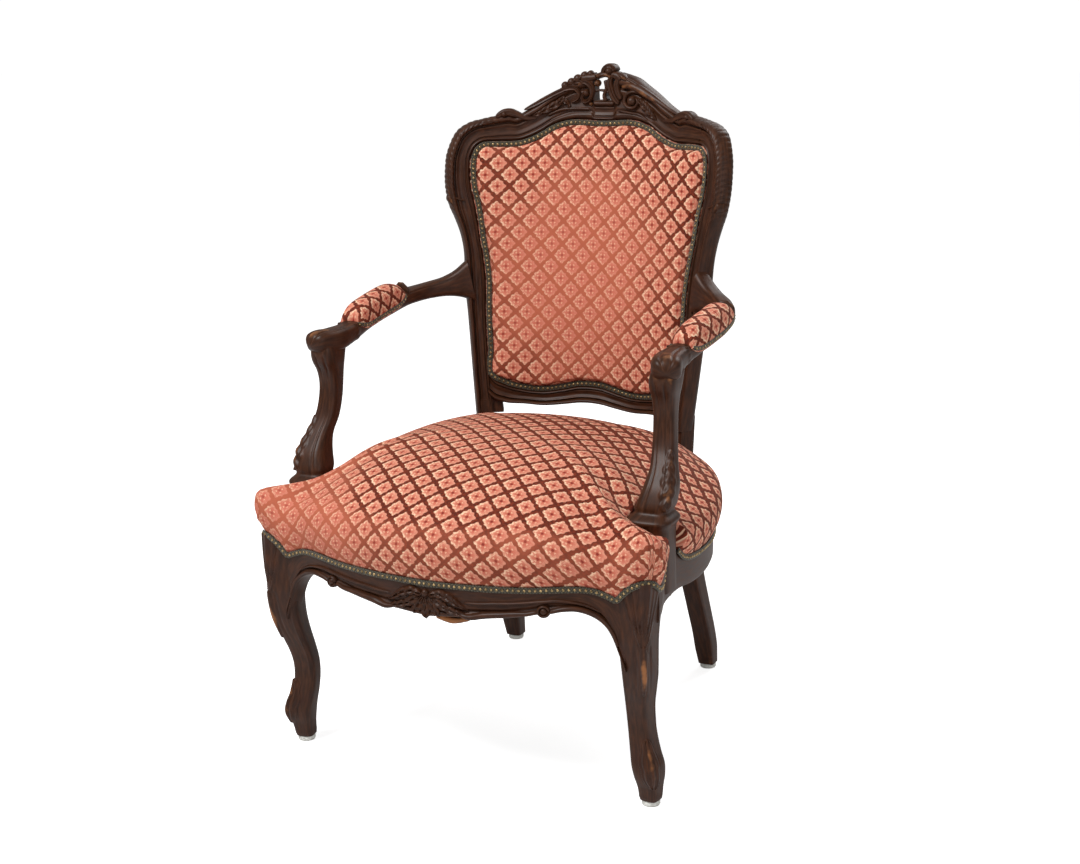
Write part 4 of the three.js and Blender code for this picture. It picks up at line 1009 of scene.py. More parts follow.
class BackFrame:
    """Stiles, crest and bottom rail of the back."""

    def __init__(self, wood: bpy.types.Material, sizes: FrameSizes = FrameSizes()) -> None:
        """Keeps the finish and the sizes."""
        self.wood = wood
        self.sizes = sizes

    def sweep(self, stations: np.ndarray, window: bool = False) -> tuple[np.ndarray, np.ndarray]:
        """Carries the moulding over the stations.

        The ribs on the outer roll are a sine of the length along the roll, slanted across it, and
        they fade below the shoulder and past it.

        Args:
            stations: places along the frame.
            window: whether the middle of the crest is cut down for the pierced carving.

        Returns:
            The grid, and how worn each point is.
        """
        s = self.sizes
        lines = back_lines(stations)
        outer, reveal = lines[:, :2], lines[:, 2:]
        if window:
            low, high, top = s.window
            middle, reach = (low + high) / 2, (high - low) / 2
            share = 1 - ease(np.abs(outer[:, 0] - middle), reach, reach + 5)
            outer[:, 1] = outer[:, 1] * (1 - share) + np.minimum(top, outer[:, 1]) * share
        face = np.linspace(0, 1, 37)
        run = np.linalg.norm(outer - reveal, axis=1, keepdims=True)
        unit = (outer - reveal) / run
        arc = np.r_[0, np.cumsum(np.linalg.norm(np.diff(outer, axis=0), axis=1))]
        place = np.minimum(stations, 42 - stations)
        strength = ease(place, 5.5, 8.0) * (1 - ease(place, 13.0, 14.2))
        wave = np.abs(np.sin(np.pi * (arc[:, None] / s.pitch - 2.2 * (face[None] - 0.7) / 0.3)))
        roll = ease(face, 0.68, 0.74)
        rib = s.rib * strength[:, None] * wave * roll
        depth = read_one(FRAME_FACE, face)[None] - rib
        spot = reveal[:, None] + (outer - reveal)[:, None] * face[None, :, None]
        spot = spot + unit[:, None] * (0.5 * rib * ease(face, 0.85, 1.0))[..., None]
        hidden = reveal - s.rebate * unit
        edge = spot[:, -1]
        around = [
            (edge, 13.0),
            (edge, 19.0),
            (edge - 2.5 * unit, 24.5),
            (edge - 9 * unit, s.thickness),
            (hidden + 4 * unit, s.thickness),
            (hidden, 24.0),
            (hidden, 7.5),
            (hidden + (s.rebate - 0.5) * unit, 7.0),
        ]
        cols = [on_back(spot[..., 0], spot[..., 1], depth)]
        cols += [on_back(p[:, :1], p[:, 1:], np.full((len(p), 1), d)) for p, d in around]
        grid = np.concatenate(cols, axis=1)
        worn = np.zeros(grid.shape[:2])
        high = ease(outer[:, 1], 905, 945)[:, None]
        worn[:, : len(face)] = bell(face, 0.84, 0.1)[None] * (0.16 + 0.30 * high) + 0.10 * bell(face, 0.09, 0.04)
        return grid, worn

    def stile(self, side: Side) -> bpy.types.Object:
        """A stile with its rear leg, down to the foot."""
        skin = Skin(f"stile_{side.word}")
        grid, worn = self.sweep(np.linspace(0, 13.0, 300))
        skin.add(mirror(grid, side), wear_and_painted_light=worn)
        self.add_leg(skin, side)
        self.add_ear(skin, side)
        return skin.build(self.wood, "show_wood", [f"rear_leg_stile_{side.word}"])

    def add_leg(self, skin: Skin, side: Side) -> None:
        """The rear leg: a square with soft corners that rakes back to its foot and leans in at its top."""
        rows = REAR_LEG * [RAIL_TOP, BACK_HALF_WIDTH, 256.0]
        low = np.linspace(8.6, RAIL_TOP, 40)
        centre = np.column_stack([read_table(rows, low), low])
        high = np.linspace(RAIL_TOP + 10, 452, 12)
        top = on_back(read_one(np.array([[345, 163.6], [452, 166.5]]), high), high, np.full(12, 14.5))
        path = np.vstack([centre, top])
        turn = np.arcsin(0.777 * BACK_HALF_WIDTH / BACK_RADIUS) * np.clip(path[:, 2] / RAIL_TOP, 0, 1) ** 2
        angle, radius = rounded_square(40, 9.0)
        half = np.interp(path[:, 2], [8, 40, 345, 452], [13.0, 15.5, 15.5, 13.2])
        reach = half[:, None] * radius
        x = path[:, :1] + reach * np.cos(angle - turn[:, None])
        y = path[:, 1:2] + reach * np.sin(angle - turn[:, None])
        z = np.broadcast_to(path[:, 2:], x.shape)
        wear_and_painted_light = 0.35 * (1 - ease(z, 10, 90))
        skin.add(mirror(np.stack([x, y, z], -1), side), wear_and_painted_light=wear_and_painted_light)

    def add_ear(self, skin: Skin, side: Side) -> None:
        """The small scrolled ear on the outer edge below the shoulder."""
        grow = Relief(skin, lambda x, z, lift: on_back(x * side.value, z, 2.0 - lift), 0.5)
        grow.ridge([(215, 764), (220, 769), (224, 775), (225, 781)], [5, 8, 8, 5], [2, 4, 4, 2], 12)
        grow.ridge([(206, 772), (215, 775), (222, 779)], [3, 4, 3], [2, 3, 2], 6)

    def crest(self) -> bpy.types.Object:
        """The crest rail with its pierced and uneven carving."""
        skin = Skin("crest")
        grid, worn = self.sweep(np.linspace(13.0, 29.0, 420), window=True)
        skin.add(grid, wear_and_painted_light=worn)
        dull = Relief(skin, lambda x, z, lift: on_back(x, z, 1.0 - lift), 0.26)
        worn_down = Relief(skin, dull.place, 0.5)
        pierced = 13.0
        self.carve_window(dull, worn_down, pierced)
        self.carve_left(dull, worn_down)
        self.carve_right(dull, worn_down, pierced)
        for sign, centre in ((1, (151, 905)), (-1, (-152, 907))):
            path = [(centre[0] + sign * d, centre[1] + h) for d, h in ((16, -6), (8, 0), (-2, 2), (-12, -1), (-26, -7), (-44, -8))]
            dull.ridge(path, [6, 12, 13, 10, 7, 3], [4, 6, 7, 6, 4, 2], 10, 60, 0.25)
            dull.dome((centre[0] + sign * 5, centre[1] - 1), 5.0, 8.0)
        return skin.build(self.wood, "show_wood", ["crest_rail"])

    @staticmethod
    def carve_window(dull: Relief, worn: Relief, through: float) -> None:
        """The pierced middle: two thin bars, the member over them and the scrolled knob."""
        dull.ridge([(-40, 961), (-28, 961), (-14, 963)], [12, 14, 10], [6, 7, 6], through)
        worn.ridge([(-14, 963), (-6, 966), (4, 966), (12, 963)], [9, 9, 9, 9], [6, 8, 8, 6], through)
        dull.ridge([(8, 966), (18, 965), (30, 959)], [10, 13, 12], [6, 7, 6], through)
        dull.ridge([(-19, 941), (-8, 942), (6, 940), (20, 942)], [4.5, 3.5, 3.5, 4.5], [2, 2.5, 2.5, 2], through)
        dull.ridge([(3, 925), (0, 934), (3, 944), (1, 958)], [8, 6, 6, 8], [3, 4, 4, 3], through)
        dull.ridge([(-4, 967), (-2, 974), (5, 979), (13, 977), (17, 971)], [8, 9, 9, 9, 7], [7, 8, 9, 9, 7], through, 44, 0.3)
        dull.dome((8, 972), 7, 12)
        worn.dome((-12, 953), 5.5, 8)

    @staticmethod
    def carve_left(dull: Relief, worn: Relief) -> None:
        """The left side: a long curling band, a hooked leaf below it, a fluted scroll and a leafy skyline."""
        band = [(-128, 912), (-108, 922), (-90, 932), (-74, 940), (-60, 945), (-48, 944), (-42, 936), (-46, 928), (-55, 925)]
        dull.ridge(band, [4, 7, 9, 9, 9, 9, 8, 7, 5], [2, 4, 6, 7, 8, 8, 7, 6, 5], 4, 80, 0.35)
        dull.leaf([(-66, 934), (-72, 925), (-86, 916), (-102, 908), (-118, 900)], 15, 6, 4, 60)
        dull.leaf([(-74, 930), (-64, 925), (-58, 918), (-62, 911)], 9, 5, 3, 40)
        band = [(-42, 955), (-30, 954), (-21, 946), (-20, 935), (-26, 926), (-34, 925), (-37, 932), (-31, 938)]
        dull.ridge(band, [7, 10, 11, 10, 8, 7, 6, 5], [5, 8, 9, 9, 8, 7, 6, 5], 4, 80, 0.4)
        dull.dome((-30, 938), 6, 9)
        for x, z, r in ((-66, 950, 6), (-56, 955, 6.5), (-46, 960, 7), (-35, 965, 6.5), (-25, 967, 6)):
            dull.dome((x, z), r, 6)
        dull.leaf([(-26, 964), (-40, 959), (-54, 953), (-70, 945)], 14, 6.5, 5, 60)
        dull.ridge([(-92, 903), (-70, 912), (-46, 914), (-22, 913)], [3, 5, 5, 4], [2, 3, 3, 2], 4)
        worn.dome((-22, 921), 3.0, 4)

    @staticmethod
    def carve_right(dull: Relief, worn: Relief, through: float) -> None:
        """The right side: an upright leaf, a worn nub, a broad worn band, a round eye and a trailing leaf."""
        dull.ridge([(12, 965), (9, 955), (12, 943), (18, 930), (26, 921)], [8, 11, 12, 11, 7], [6, 9, 9, 7, 4], through, 60, 0.45)
        dull.ridge([(24, 962), (21, 950), (24, 938), (30, 928)], [8, 10, 10, 7], [6, 8, 7, 4], 4, 50, 0.3)
        worn.ridge([(24, 966), (31, 963), (39, 957)], [7, 9, 6], [6, 8, 5], 8)
        dull.ridge([(36, 960), (48, 955), (60, 949), (74, 943)], [5, 6, 5, 3], [4, 5, 4, 2], 6)
        band = [(30, 948), (44, 949), (60, 944), (78, 935), (98, 924), (120, 913), (136, 907)]
        worn.ridge(band[:5], [8, 13, 14, 12, 9], [5, 8, 8, 6, 4], 4, 60)
        dull.ridge(band[3:], [13, 10, 7, 4], [5.5, 4, 3, 2], 4, 50)
        band = [(62, 938), (50, 940), (39, 934), (37, 924), (45, 916), (56, 917), (61, 925), (56, 931)]
        dull.ridge(band, [4, 6, 7, 7, 7, 6, 5, 4], [4, 6, 7, 7, 7, 6, 6, 5], 4, 80)
        dull.dome((49, 926), 8, 9)
        dull.leaf([(60, 930), (70, 921), (82, 910), (96, 897)], 15, 6.5, 4, 60)
        dull.ridge([(24, 911), (44, 908), (64, 905), (80, 896)], [3, 4, 4, 3], [2, 3, 3, 2], 4)

    def bottom_rail(self) -> bpy.types.Object:
        """The curved rail under the back panel, moulded on its face."""
        x = np.linspace(-0.71, 0.71, 180)
        rows = read_table(BOTTOM_RAIL, np.abs(x))
        top, low = back_height(rows[:, 0]), back_height(rows[:, 1])
        x = x * BACK_HALF_WIDTH
        face = np.linspace(0, 1, 30)
        z = top[:, None] + (low - top)[:, None] * face
        depth = np.broadcast_to(read_one(FRAME_FACE, face), z.shape)
        cols = [on_back(np.broadcast_to(x[:, None], z.shape), z, depth)]
        ends = ((low, 19.0), (low + 3, 25.0), (low + 9, 28.0), (top + 10, 28.0), (top + 13, 24.0), (top + 13, 7.5))
        cols += [on_back(x[:, None], h[:, None], np.full((len(x), 1), d)) for h, d in ends]
        skin = Skin("bottom_rail")
        skin.add(np.concatenate(cols, axis=1), wear_and_painted_light=np.r_[bell(face, 0.84, 0.12) * 0.25, np.zeros(6)][None])
        return skin.build(self.wood, "show_wood", ["back_bottom_rail"])


class FrontLeg:
    """A cabriole front leg with a fan on its knee, a drop below it and a leaf on its toe."""

    def __init__(self, side: Side, wood: bpy.types.Material) -> None:
        """Keeps the side and the finish."""
        self.side = side
        self.wood = wood

    def build(self) -> bpy.types.Object:
        """Builds the leg.

        The section is a softened square. Its radius is swelled by the carving: a fan whose flutes
        spread from a point, a drop with a ridge, and ribs on the toe.

        Returns:
            The leg's object.
        """
        z = np.r_[np.linspace(8.6, 110, 110), np.linspace(111, 338, 206)]
        rows = read_table(FRONT_LEG * [RAIL_TOP, FRONT_HALF_WIDTH, -SEAT_DEPTH, 31.0], z)
        up = z[:, None]
        half = rows[:, 2:3]
        angle = rounded_square(160, 4.2)[0][None]
        twist = math.radians(-8) * (1 - ease(up, 285, 330))
        radius = (np.abs(np.cos(angle - twist)) ** 4.2 + np.abs(np.sin(angle - twist)) ** 4.2) ** (-1 / 4.2)
        arc = np.angle(np.exp(1j * (angle + math.radians(55)))) * half
        lift = self.fan(arc, up) + self.drop(arc, up) + self.toe(arc, up) + self.edges(arc, up, half)
        reach = half * radius + lift
        foot = ease(up, 8.6, 14)
        reach = reach * (0.96 + 0.04 * foot)
        x = rows[:, :1] + reach * np.cos(angle)
        x = np.where(x > 299, 299 + (x - 299) * 0.45, x)
        y = rows[:, 1:2] + reach * np.sin(angle)
        grid = np.stack([x, y, np.broadcast_to(up, x.shape)], -1)
        worn = 0.85 * bell(arc, 0, 4.5) * bell(up, 212, 36) + 0.55 * bell(up, 62, 22) * bell(arc, 0, 9)
        worn = worn + 0.42 * bell(up, 88, 12) * bell(arc, 0, 4) + 0.22 * np.clip(lift, 0, 3) / 3 * ease(up, 250, 262)
        worn = worn + 0.16 * bell(arc, -14, 8) * bell(up, 225, 60)
        skin = Skin(f"front_leg_{self.side.word}")
        skin.add(mirror(grid, self.side), wear_and_painted_light=np.clip(worn, 0, 0.9))
        return skin.build(self.wood, "show_wood", [f"front_leg_{self.side.word}"], 60)

    @staticmethod
    def fan(arc: np.ndarray, up: np.ndarray) -> np.ndarray:
        """The knee's fan: six flutes that spread upwards from a point, between two raised edges."""
        rise = up - 248.0
        width = 2.0 + 0.37 * np.maximum(rise, 0)
        share = arc / width
        inside = (1 - ease(np.abs(share), 0.98, 1.06)) * ease(rise, 0, 5)
        flutes = 0.5 - 0.5 * np.cos(share * np.pi * 6)
        border = bell(np.abs(share), 1.0, 0.12) * ease(rise, -3, 4)
        return inside * (0.6 + 2.6 * flutes * ease(rise, 6, 34)) + 1.4 * border

    @staticmethod
    def drop(arc: np.ndarray, up: np.ndarray) -> np.ndarray:
        """The long thin drop under the fan, between two grooves, over a soft ridge down to the ankle."""
        body = np.sqrt(np.clip((up - 174) / 64, 0, 1)) * np.sqrt(np.clip((252 - up) / 12, 0, 1))
        width = 5.2 * body + 0.01
        lift = np.clip(1 - (arc / width) ** 2, 0, 1) ** 0.5 * 3.0 * (width > 0.6)
        groove = -1.6 * (bell(np.abs(arc), 9.5, 2.2)) * body
        return lift + groove + 0.8 * bell(arc, 0, 4.0) * ease(up, 90, 120) * (1 - ease(up, 165, 176))

    @staticmethod
    def toe(arc: np.ndarray, up: np.ndarray) -> np.ndarray:
        """The toe's leaf: it hangs to a point over the block, with ribs and a raised midrib."""
        top = np.sqrt(np.clip((104 - up) / 34, 0, 1))
        tip = np.sqrt(np.clip((up - 31) / 26, 0, 1))
        width = 17.0 * top * tip * (0.86 + 0.14 * np.abs(np.sin((up - 31) / 9.0)))
        share = arc / np.maximum(width, 0.5)
        ribs = 0.5 + 0.5 * np.cos(share * np.pi * 4)
        leaf = np.clip(1 - share**2, 0, 1) ** 0.35 * (1.4 + 2.2 * ribs) * (width > 1)
        return leaf * (1 + 0.5 * bell(up, 52, 14))

    @staticmethod
    def edges(arc: np.ndarray, up: np.ndarray, half: np.ndarray) -> np.ndarray:
        """A thin bead along both inner edges of the leg's faces."""
        place = np.abs(arc) / half - np.pi / 2 * 0.86
        return 1.1 * bell(place, 0, 0.07) * ease(up, 95, 130) * (1 - ease(up, 296, 312))


class Rails:
    """Front, side and rear rails."""

    def __init__(self, wood: bpy.types.Material) -> None:
        """Keeps the finish."""
        self.wood = wood

    def front(self) -> bpy.types.Object:
        """The serpentine front rail with a carved middle, scrolls and two rosettes."""
        x = np.linspace(-266, 266, 320)
        low = read_one(FRONT_LOW, np.abs(x) / FRONT_HALF_WIDTH) * RAIL_TOP
        high = seat_foot(x, np.full(len(x), -SEAT_DEPTH)) + 8
        rise = np.array([[0, -3.0], [1.2, -0.5], [4, 1.6], [7, 0.8], [9, -1.8], [11, -1.4], [14, 0.4], [18, 0.2], [60, 0.0]])
        up = np.r_[np.linspace(0, 18, 22), np.linspace(0, 1, 8)[1:]]
        z = np.empty((len(x), len(up)))
        z[:, :22] = low[:, None] + up[:22]
        z[:, 22:] = (low + 18)[:, None] + (np.maximum(high - low - 18, 2))[:, None] * up[22:]
        out = read_one(rise, np.clip(z - low[:, None], 0, 60))
        cols = [on_front(x[:, None], z, out)]
        for h, d in ((high, -27.0), (low + 3, -27.0), (low, -24.0)):
            cols.append(on_front(x[:, None], h[:, None], np.full((len(x), 1), d)))
        skin = Skin("front_rail")
        wear_and_painted_light = np.broadcast_to(np.r_[bell(up[:22], 4, 3) * 0.2, np.zeros(10)], (len(x), 32)).copy()
        raw = bell(x, -8, 62)[:, None]
        wear_and_painted_light[:, :2] = np.maximum(wear_and_painted_light[:, :2], raw)
        wear_and_painted_light[:, -2:] = np.maximum(wear_and_painted_light[:, -2:], raw)
        skin.add(np.concatenate(cols, axis=1), wear_and_painted_light=wear_and_painted_light)
        carve = Relief(skin, on_front, 0.24)
        for k in (-2, -1, 0, 1, 2):
            turn = math.radians(k * 27)
            path = [(r * math.sin(turn) * 1.2, 306 - r * math.cos(turn)) for r in (4, 14, 26, 37 - abs(k))]
            carve.leaf(path, 17, 5.5, 3, 40, 0.4)
        carve.dome((0, 306), 5.5, 6)
        raw = Relief(skin, lambda x, z, lift: on_front(x, z, lift - 6), 0.9)
        raw.ridge([(12, 273), (36, 269), (62, 274)], [7, 9, 7], [3, 3, 3], 6, 30)
        for sign in (1, -1):
            carve.leaf([(sign * 4, 303), (sign * 18, 307), (sign * 34, 303), (sign * 50, 294), (sign * 62, 288)], 15, 7, 5, 60)
            carve.leaf([(sign * 22, 290), (sign * 36, 286), (sign * 50, 282), (sign * 64, 280)], 13, 5.5, 4, 50)
            roll = ((46, 282), (62, 279), (84, 283), (104, 285), (124, 287), (144, 289), (156, 292))
            carve.ridge([(sign * a, b) for a, b in roll], [5, 9, 10, 9, 8, 7, 6], [4, 7, 7, 6, 5, 5, 4], 4, 70)
            band = ((56, 298), (78, 299), (104, 301), (130, 303), (158, 306), (184, 308), (212, 303), (236, 292))
            carve.ridge([(sign * a, b) for a, b in band], [3, 4, 4, 4, 5, 5, 4, 3], [3, 4, 4, 4, 4, 4, 3, 2], 3, 70)
            low = ((168, 291), (184, 296), (204, 297), (222, 291), (238, 280), (250, 264), (257, 246))
            carve.ridge([(sign * a, b) for a, b in low], [6, 8, 8, 7, 6, 4], [4, 6, 6, 5, 4, 3], 3, 60)
            ring = [(sign * 163 + 7 * math.cos(a), 293 + 7 * math.sin(a)) for a in np.linspace(0, 2 * math.pi, 13)]
            carve.ridge(ring, [4, 4], [5, 5], 3, 40)
            carve.dome((sign * 163, 293), 5.5, 6)
        return skin.build(self.wood, "show_wood", ["front_rail"])

    def side(self, side: Side) -> bpy.types.Object:
        """A bowed side rail with a softened lower edge."""
        line = plan_line(np.linspace(11.3, 21, 140))
        normal = plane_normals(line)
        if np.mean(normal[:, 0]) < 0:
            normal = -normal
        rows = np.array([[-0.85, 0.79], [-0.76, 0.80], [-0.66, 0.825], [-0.5, 0.838], [-0.36, 0.82], [0.4, 0.82]])
        low = read_one(rows, line[:, 1] / SEAT_DEPTH) * RAIL_TOP
        cols = []
        spots = ((0, -4), (1.2, -1.2), (4, 0.0), (12, 0.3), (26, 0.2), (44, 0), (56, -1), (56, -27), (0, -27))
        for up, out in spots:
            p = line + normal * out
            cols.append(np.column_stack([p, np.minimum(low + up, RAIL_TOP - 0.5)])[:, None])
        skin = Skin(f"side_rail_{side.word}")
        skin.add(mirror(np.concatenate(cols, axis=1), side), wear_and_painted_light=0.08)
        return skin.build(self.wood, "show_wood", [f"side_rail_{side.word}"])


class Arm:
    """An open arm: its rail, its support and its padded top."""

    def __init__(self, side: Side, wood: bpy.types.Material, velvet: bpy.types.Material) -> None:
        """Keeps the side and the finishes."""
        self.side = side
        self.wood = wood
        self.velvet = velvet
        path = smooth_path(ARM_PATH * [FRONT_HALF_WIDTH, SEAT_DEPTH, OVERALL_HEIGHT], 200)
        self.path = path
        run = np.gradient(path, axis=0)
        run /= np.linalg.norm(run, axis=1, keepdims=True)
        across = np.column_stack([-run[:, 1], run[:, 0], np.zeros(len(run))])
        across /= -np.linalg.norm(across, axis=1, keepdims=True)
        self.across = across
        self.up = np.cross(run, across)
        self.up *= np.sign(self.up[:, 2:])
        self.t = np.linspace(0, 1, 200)

    def rail(self) -> bpy.types.Object:
        """The arm rail: a swept rounded section with a fluted knuckle and a collar of petals."""
        size = read_table(ARM_SIZE, self.t)
        angle, radius = rounded_square(96, 3.4)
        t = self.t[:, None]
        top = np.angle(np.exp(1j * (angle - math.pi / 2)))
        flutes = -1.8 * (bell(top, -0.42, 0.09) + bell(top, 0.42, 0.09)) * (1 - ease(t, 0.17, 0.22))
        collar = 1.0 * bell(t, 0.225, 0.015) * (0.4 + 0.6 * np.abs(np.cos(angle * 5)))
        beads = 0.9 * (bell(angle, 0.62, 0.09) + bell(angle, math.pi - 0.62, 0.09)) * (1 - ease(t, 0.9, 0.97)) * ease(t, 0.2, 0.26)
        ends = np.sqrt(np.clip(1 - (1 - self.t / 0.035).clip(0, 1) ** 2, 0.05, 1))[:, None]
        reach = radius + (flutes + collar - beads) / 15
        section = np.stack(
            [size[:, :1] * 15 * reach * np.cos(angle) * ends, size[:, 1:] * 13 * reach * np.sin(angle) * ends], -1
        )
        grid = tube(self.path, self.across, self.up, section)
        worn = 0.60 * bell(t, 0.06, 0.08) * bell(top, 0, 0.9) * (flutes > -0.8) + 0.25 * bell(t, 0.70, 0.05)
        worn = np.broadcast_to(worn, grid.shape[:2])
        skin = Skin(f"arm_{self.side.word}")
        skin.add(mirror(grid, self.side), wear_and_painted_light=worn)
        self.add_scrolls(skin)
        return skin.build(self.wood, "show_wood", [f"arm_{self.side.word}"], 60)

    def add_scrolls(self, skin: Skin) -> None:
        """The small scroll behind the pad and the petals in front of it."""
        centre = self.path[135]
        up = self.up[135]

        def place(x: np.ndarray, z: np.ndarray, lift: np.ndarray) -> np.ndarray:
            spot = centre + (10.5 + lift)[..., None] * up + z[..., None] * np.array([0.15, 1.0, 0.05])
            out = spot + x[..., None] * self.across[134]
            return mirror(out, self.side)

        top = Relief(skin, place, 0.5)
        top.ridge([(-14, 3), (-5, 0), (5, 0), (14, 3)], [8, 11, 11, 8], [6, 15, 15, 6], 5)
        top.ridge([(-10, 9), (0, 8), (10, 9)], [5, 6, 5], [3, 6, 3], 5)
        centre2 = self.path[42]

        def front(x: np.ndarray, z: np.ndarray, lift: np.ndarray) -> np.ndarray:
            spot = centre2 + (12.0 + lift)[..., None] * self.up[42] + z[..., None] * np.array([0.0, 1.0, 0.02])
            return mirror(spot + x[..., None] * self.across[42], self.side)

        petals = Relief(skin, front, 0.45)
        for x, lean in ((-12, -4), (-6, -2), (0, 0), (6, 2), (12, 4)):
            petals.leaf([(x, 9), (x + lean * 0.4, 5), (x + lean * 0.7, 1)], 6.0, 2.4, 1, 24, 0.5)

    def support(self) -> bpy.types.Object:
        """The S-curved support: beaded edges, two flutes at the top and a leaf low on its face."""
        rows = SUPPORT * [1, FRONT_HALF_WIDTH, -SEAT_DEPTH, 24.0, 24.0]
        z = np.linspace(300, 603, 240)
        values = read_table(rows, z)
        angle, radius = rounded_square(120, 3.6)
        half = values[:, 2:3]
        zz = z[:, None]
        corner = np.angle(np.exp(1j * (angle + math.pi / 4)))
        front = np.angle(np.exp(1j * (angle + math.pi / 2)))
        bead = -1.5 * (bell(front, -0.42, 0.07) + bell(front, 0.50, 0.07)) * ease(zz, 410, 422) * (1 - ease(zz, 520, 545))
        flutes = -2.2 * (bell(front, -0.34, 0.09) + bell(front, 0.34, 0.09)) * ease(zz, 535, 560) * (1 - ease(zz, 572, 584))
        leafy = self.leaf_lift(corner * half, zz)
        step = 3.0 * bell(zz, 399, 7) - 2.6 * bell(zz, 409, 5)
        reach = radius + (bead + flutes + leafy + step) / 22
        x = values[:, :1] + values[:, 2:3] * reach * np.cos(angle)
        y = values[:, 1:2] + values[:, 3:4] * reach * np.sin(angle)
        grid = np.stack([x, y, np.broadcast_to(zz, x.shape)], -1)
        worn = 0.42 * ease(zz, 566, 586) * (flutes > -0.6) + 0.3 * np.clip(leafy, 0, 2) / 2
        worn = worn + 0.2 * bell(corner, 0, 0.2)
        skin = Skin(f"arm_support_{self.side.word}")
        skin.add(mirror(grid, self.side), wear_and_painted_light=worn)
        return skin.build(self.wood, "show_wood", [f"arm_support_{self.side.word}"], 60)

    @staticmethod
    def leaf_lift(arc: np.ndarray, z: np.ndarray) -> np.ndarray:
        """The leaf on the support's outer front corner: scalloped lobes and a midrib."""
        t = np.clip((z - 414) / 74, 0, 1)
        width = 12.5 * np.sin(np.pi * np.clip(t, 0.02, 0.98) ** 0.7) ** 0.6 * (0.75 + 0.25 * np.abs(np.sin(t * np.pi * 5)))
        share = arc / np.maximum(width, 0.5)
        ribs = 0.5 + 0.5 * np.cos(2 * np.pi * (t * 5 + 0.8 * np.abs(share)))
        inside = (np.abs(share) < 1) * (z > 414) * (z < 488)
        return inside * np.sqrt(np.clip(1 - share**2, 0, 1)) * (1.2 + 2.2 * ribs)

    def pad(self) -> bpy.types.Object:
        """The pad on the arm: a crowned form that closes down at both ends."""
        t = np.linspace(0.25, 0.65, 80)
        k = t * 199
        path = np.column_stack([np.interp(k, np.arange(200), self.path[:, i]) for i in range(3)])
        across = np.column_stack([np.interp(k, np.arange(200), self.across[:, i]) for i in range(3)])
        up = np.column_stack([np.interp(k, np.arange(200), self.up[:, i]) for i in range(3)])
        s = np.linspace(-1, 1, 80)
        swell = np.sqrt(np.clip(1 - s**6, 0.0, 1)) * 0.93 + 0.07
        wide = 21.5 * (0.74 + 0.26 * np.sqrt(np.clip(1 - s**4, 0, 1)))
        turn = np.linspace(0, np.pi, 33)
        side = np.sign(np.cos(turn)) * np.abs(np.cos(turn)) ** 0.75
        rise = np.abs(np.sin(turn)) ** 0.75
        side = np.r_[side, -0.9, 0.9]
        rise = np.r_[rise, -0.12, -0.12]
        foot = -2.0 + 9.0 * np.abs(s) ** 5
        section = np.stack([wide[:, None] * side, foot[:, None] + (34.0 - foot)[:, None] * swell[:, None] * rise], -1)
        grid = tube(path, across, up, section)
        length = np.r_[0, np.cumsum(np.linalg.norm(np.diff(path, axis=0), axis=1))]
        girth = np.r_[0, np.cumsum(np.linalg.norm(np.diff(grid[40], axis=0), axis=1)), 0]
        girth[-1] = girth[-2] + 36
        uv = np.stack(np.meshgrid(girth, length), -1) * MM
        skin = Skin(f"arm_pad_{self.side.word}")
        skin.add(mirror(grid, self.side), uv=uv)
        word = self.side.word
        piece = skin.build(self.velvet, "velvet", [f"arm_pad_cover_{word}", f"arm_pad_stuffing_{word}"], 70)
        foot = np.vstack([grid[2:-2, 0], grid[-1, :1] * 0.5 + grid[-1, 32:33] * 0.5, grid[2:-2, 32][::-1]])
        self.foot_line = mirror(foot, self.side)
        self.foot_up = up[40]
        return piece


# Upholstery


def unroll(grid: np.ndarray, plan: np.ndarray, out: np.ndarray) -> np.ndarray:
    """Cloth coordinates of a crowned form: plan places, with each step outwards as long as on the form.

    Args:
        grid: rings from the edge to the middle, in space.
        plan: their places in plan.
        out: the outward direction of each column in plan.

    Returns:
        Coordinates in metres, with the first column repeated at the end.
    """
    step = np.linalg.norm(np.diff(grid, axis=0), axis=2)
    move = plan[:-1] - plan[1:]
    along = (move * out[None]).sum(axis=2)
    aside = np.linalg.norm(move - along[..., None] * out[None], axis=2)
    extra = np.sqrt(np.maximum(step**2 - aside**2, 0)) - along
    total = np.cumsum(extra[::-1], axis=0)[::-1]
    uv = plan.copy()
    uv[:-1] += total[..., None] * out[None]
    return np.concatenate([uv, uv[:, :1]], axis=1) * MM


def even_ring(points: np.ndarray, count: int, weight: Callable[[np.ndarray], np.ndarray]) -> np.ndarray:
    """Spaces points round a closed line, closer together where the weight is large."""
    closed = np.vstack([points, points[:1]])
    dense = smooth_path(closed, count * 4)
    step = np.linalg.norm(np.diff(dense, axis=0), axis=1) * weight((dense[1:] + dense[:-1]) / 2)
    along = np.r_[0, np.cumsum(step)]
    at = np.linspace(0, along[-1], count, endpoint=False)
    return np.column_stack([np.interp(at, along, dense[:, k]) for k in range(2)])


@dataclass(frozen=True)
class SeatSizes:
    """Sizes of the seat's cushion."""

    crown: float = 474.0
    bulge: float = 13.0
    centre: tuple = (0.0, -103.9)
    columns: int = 620


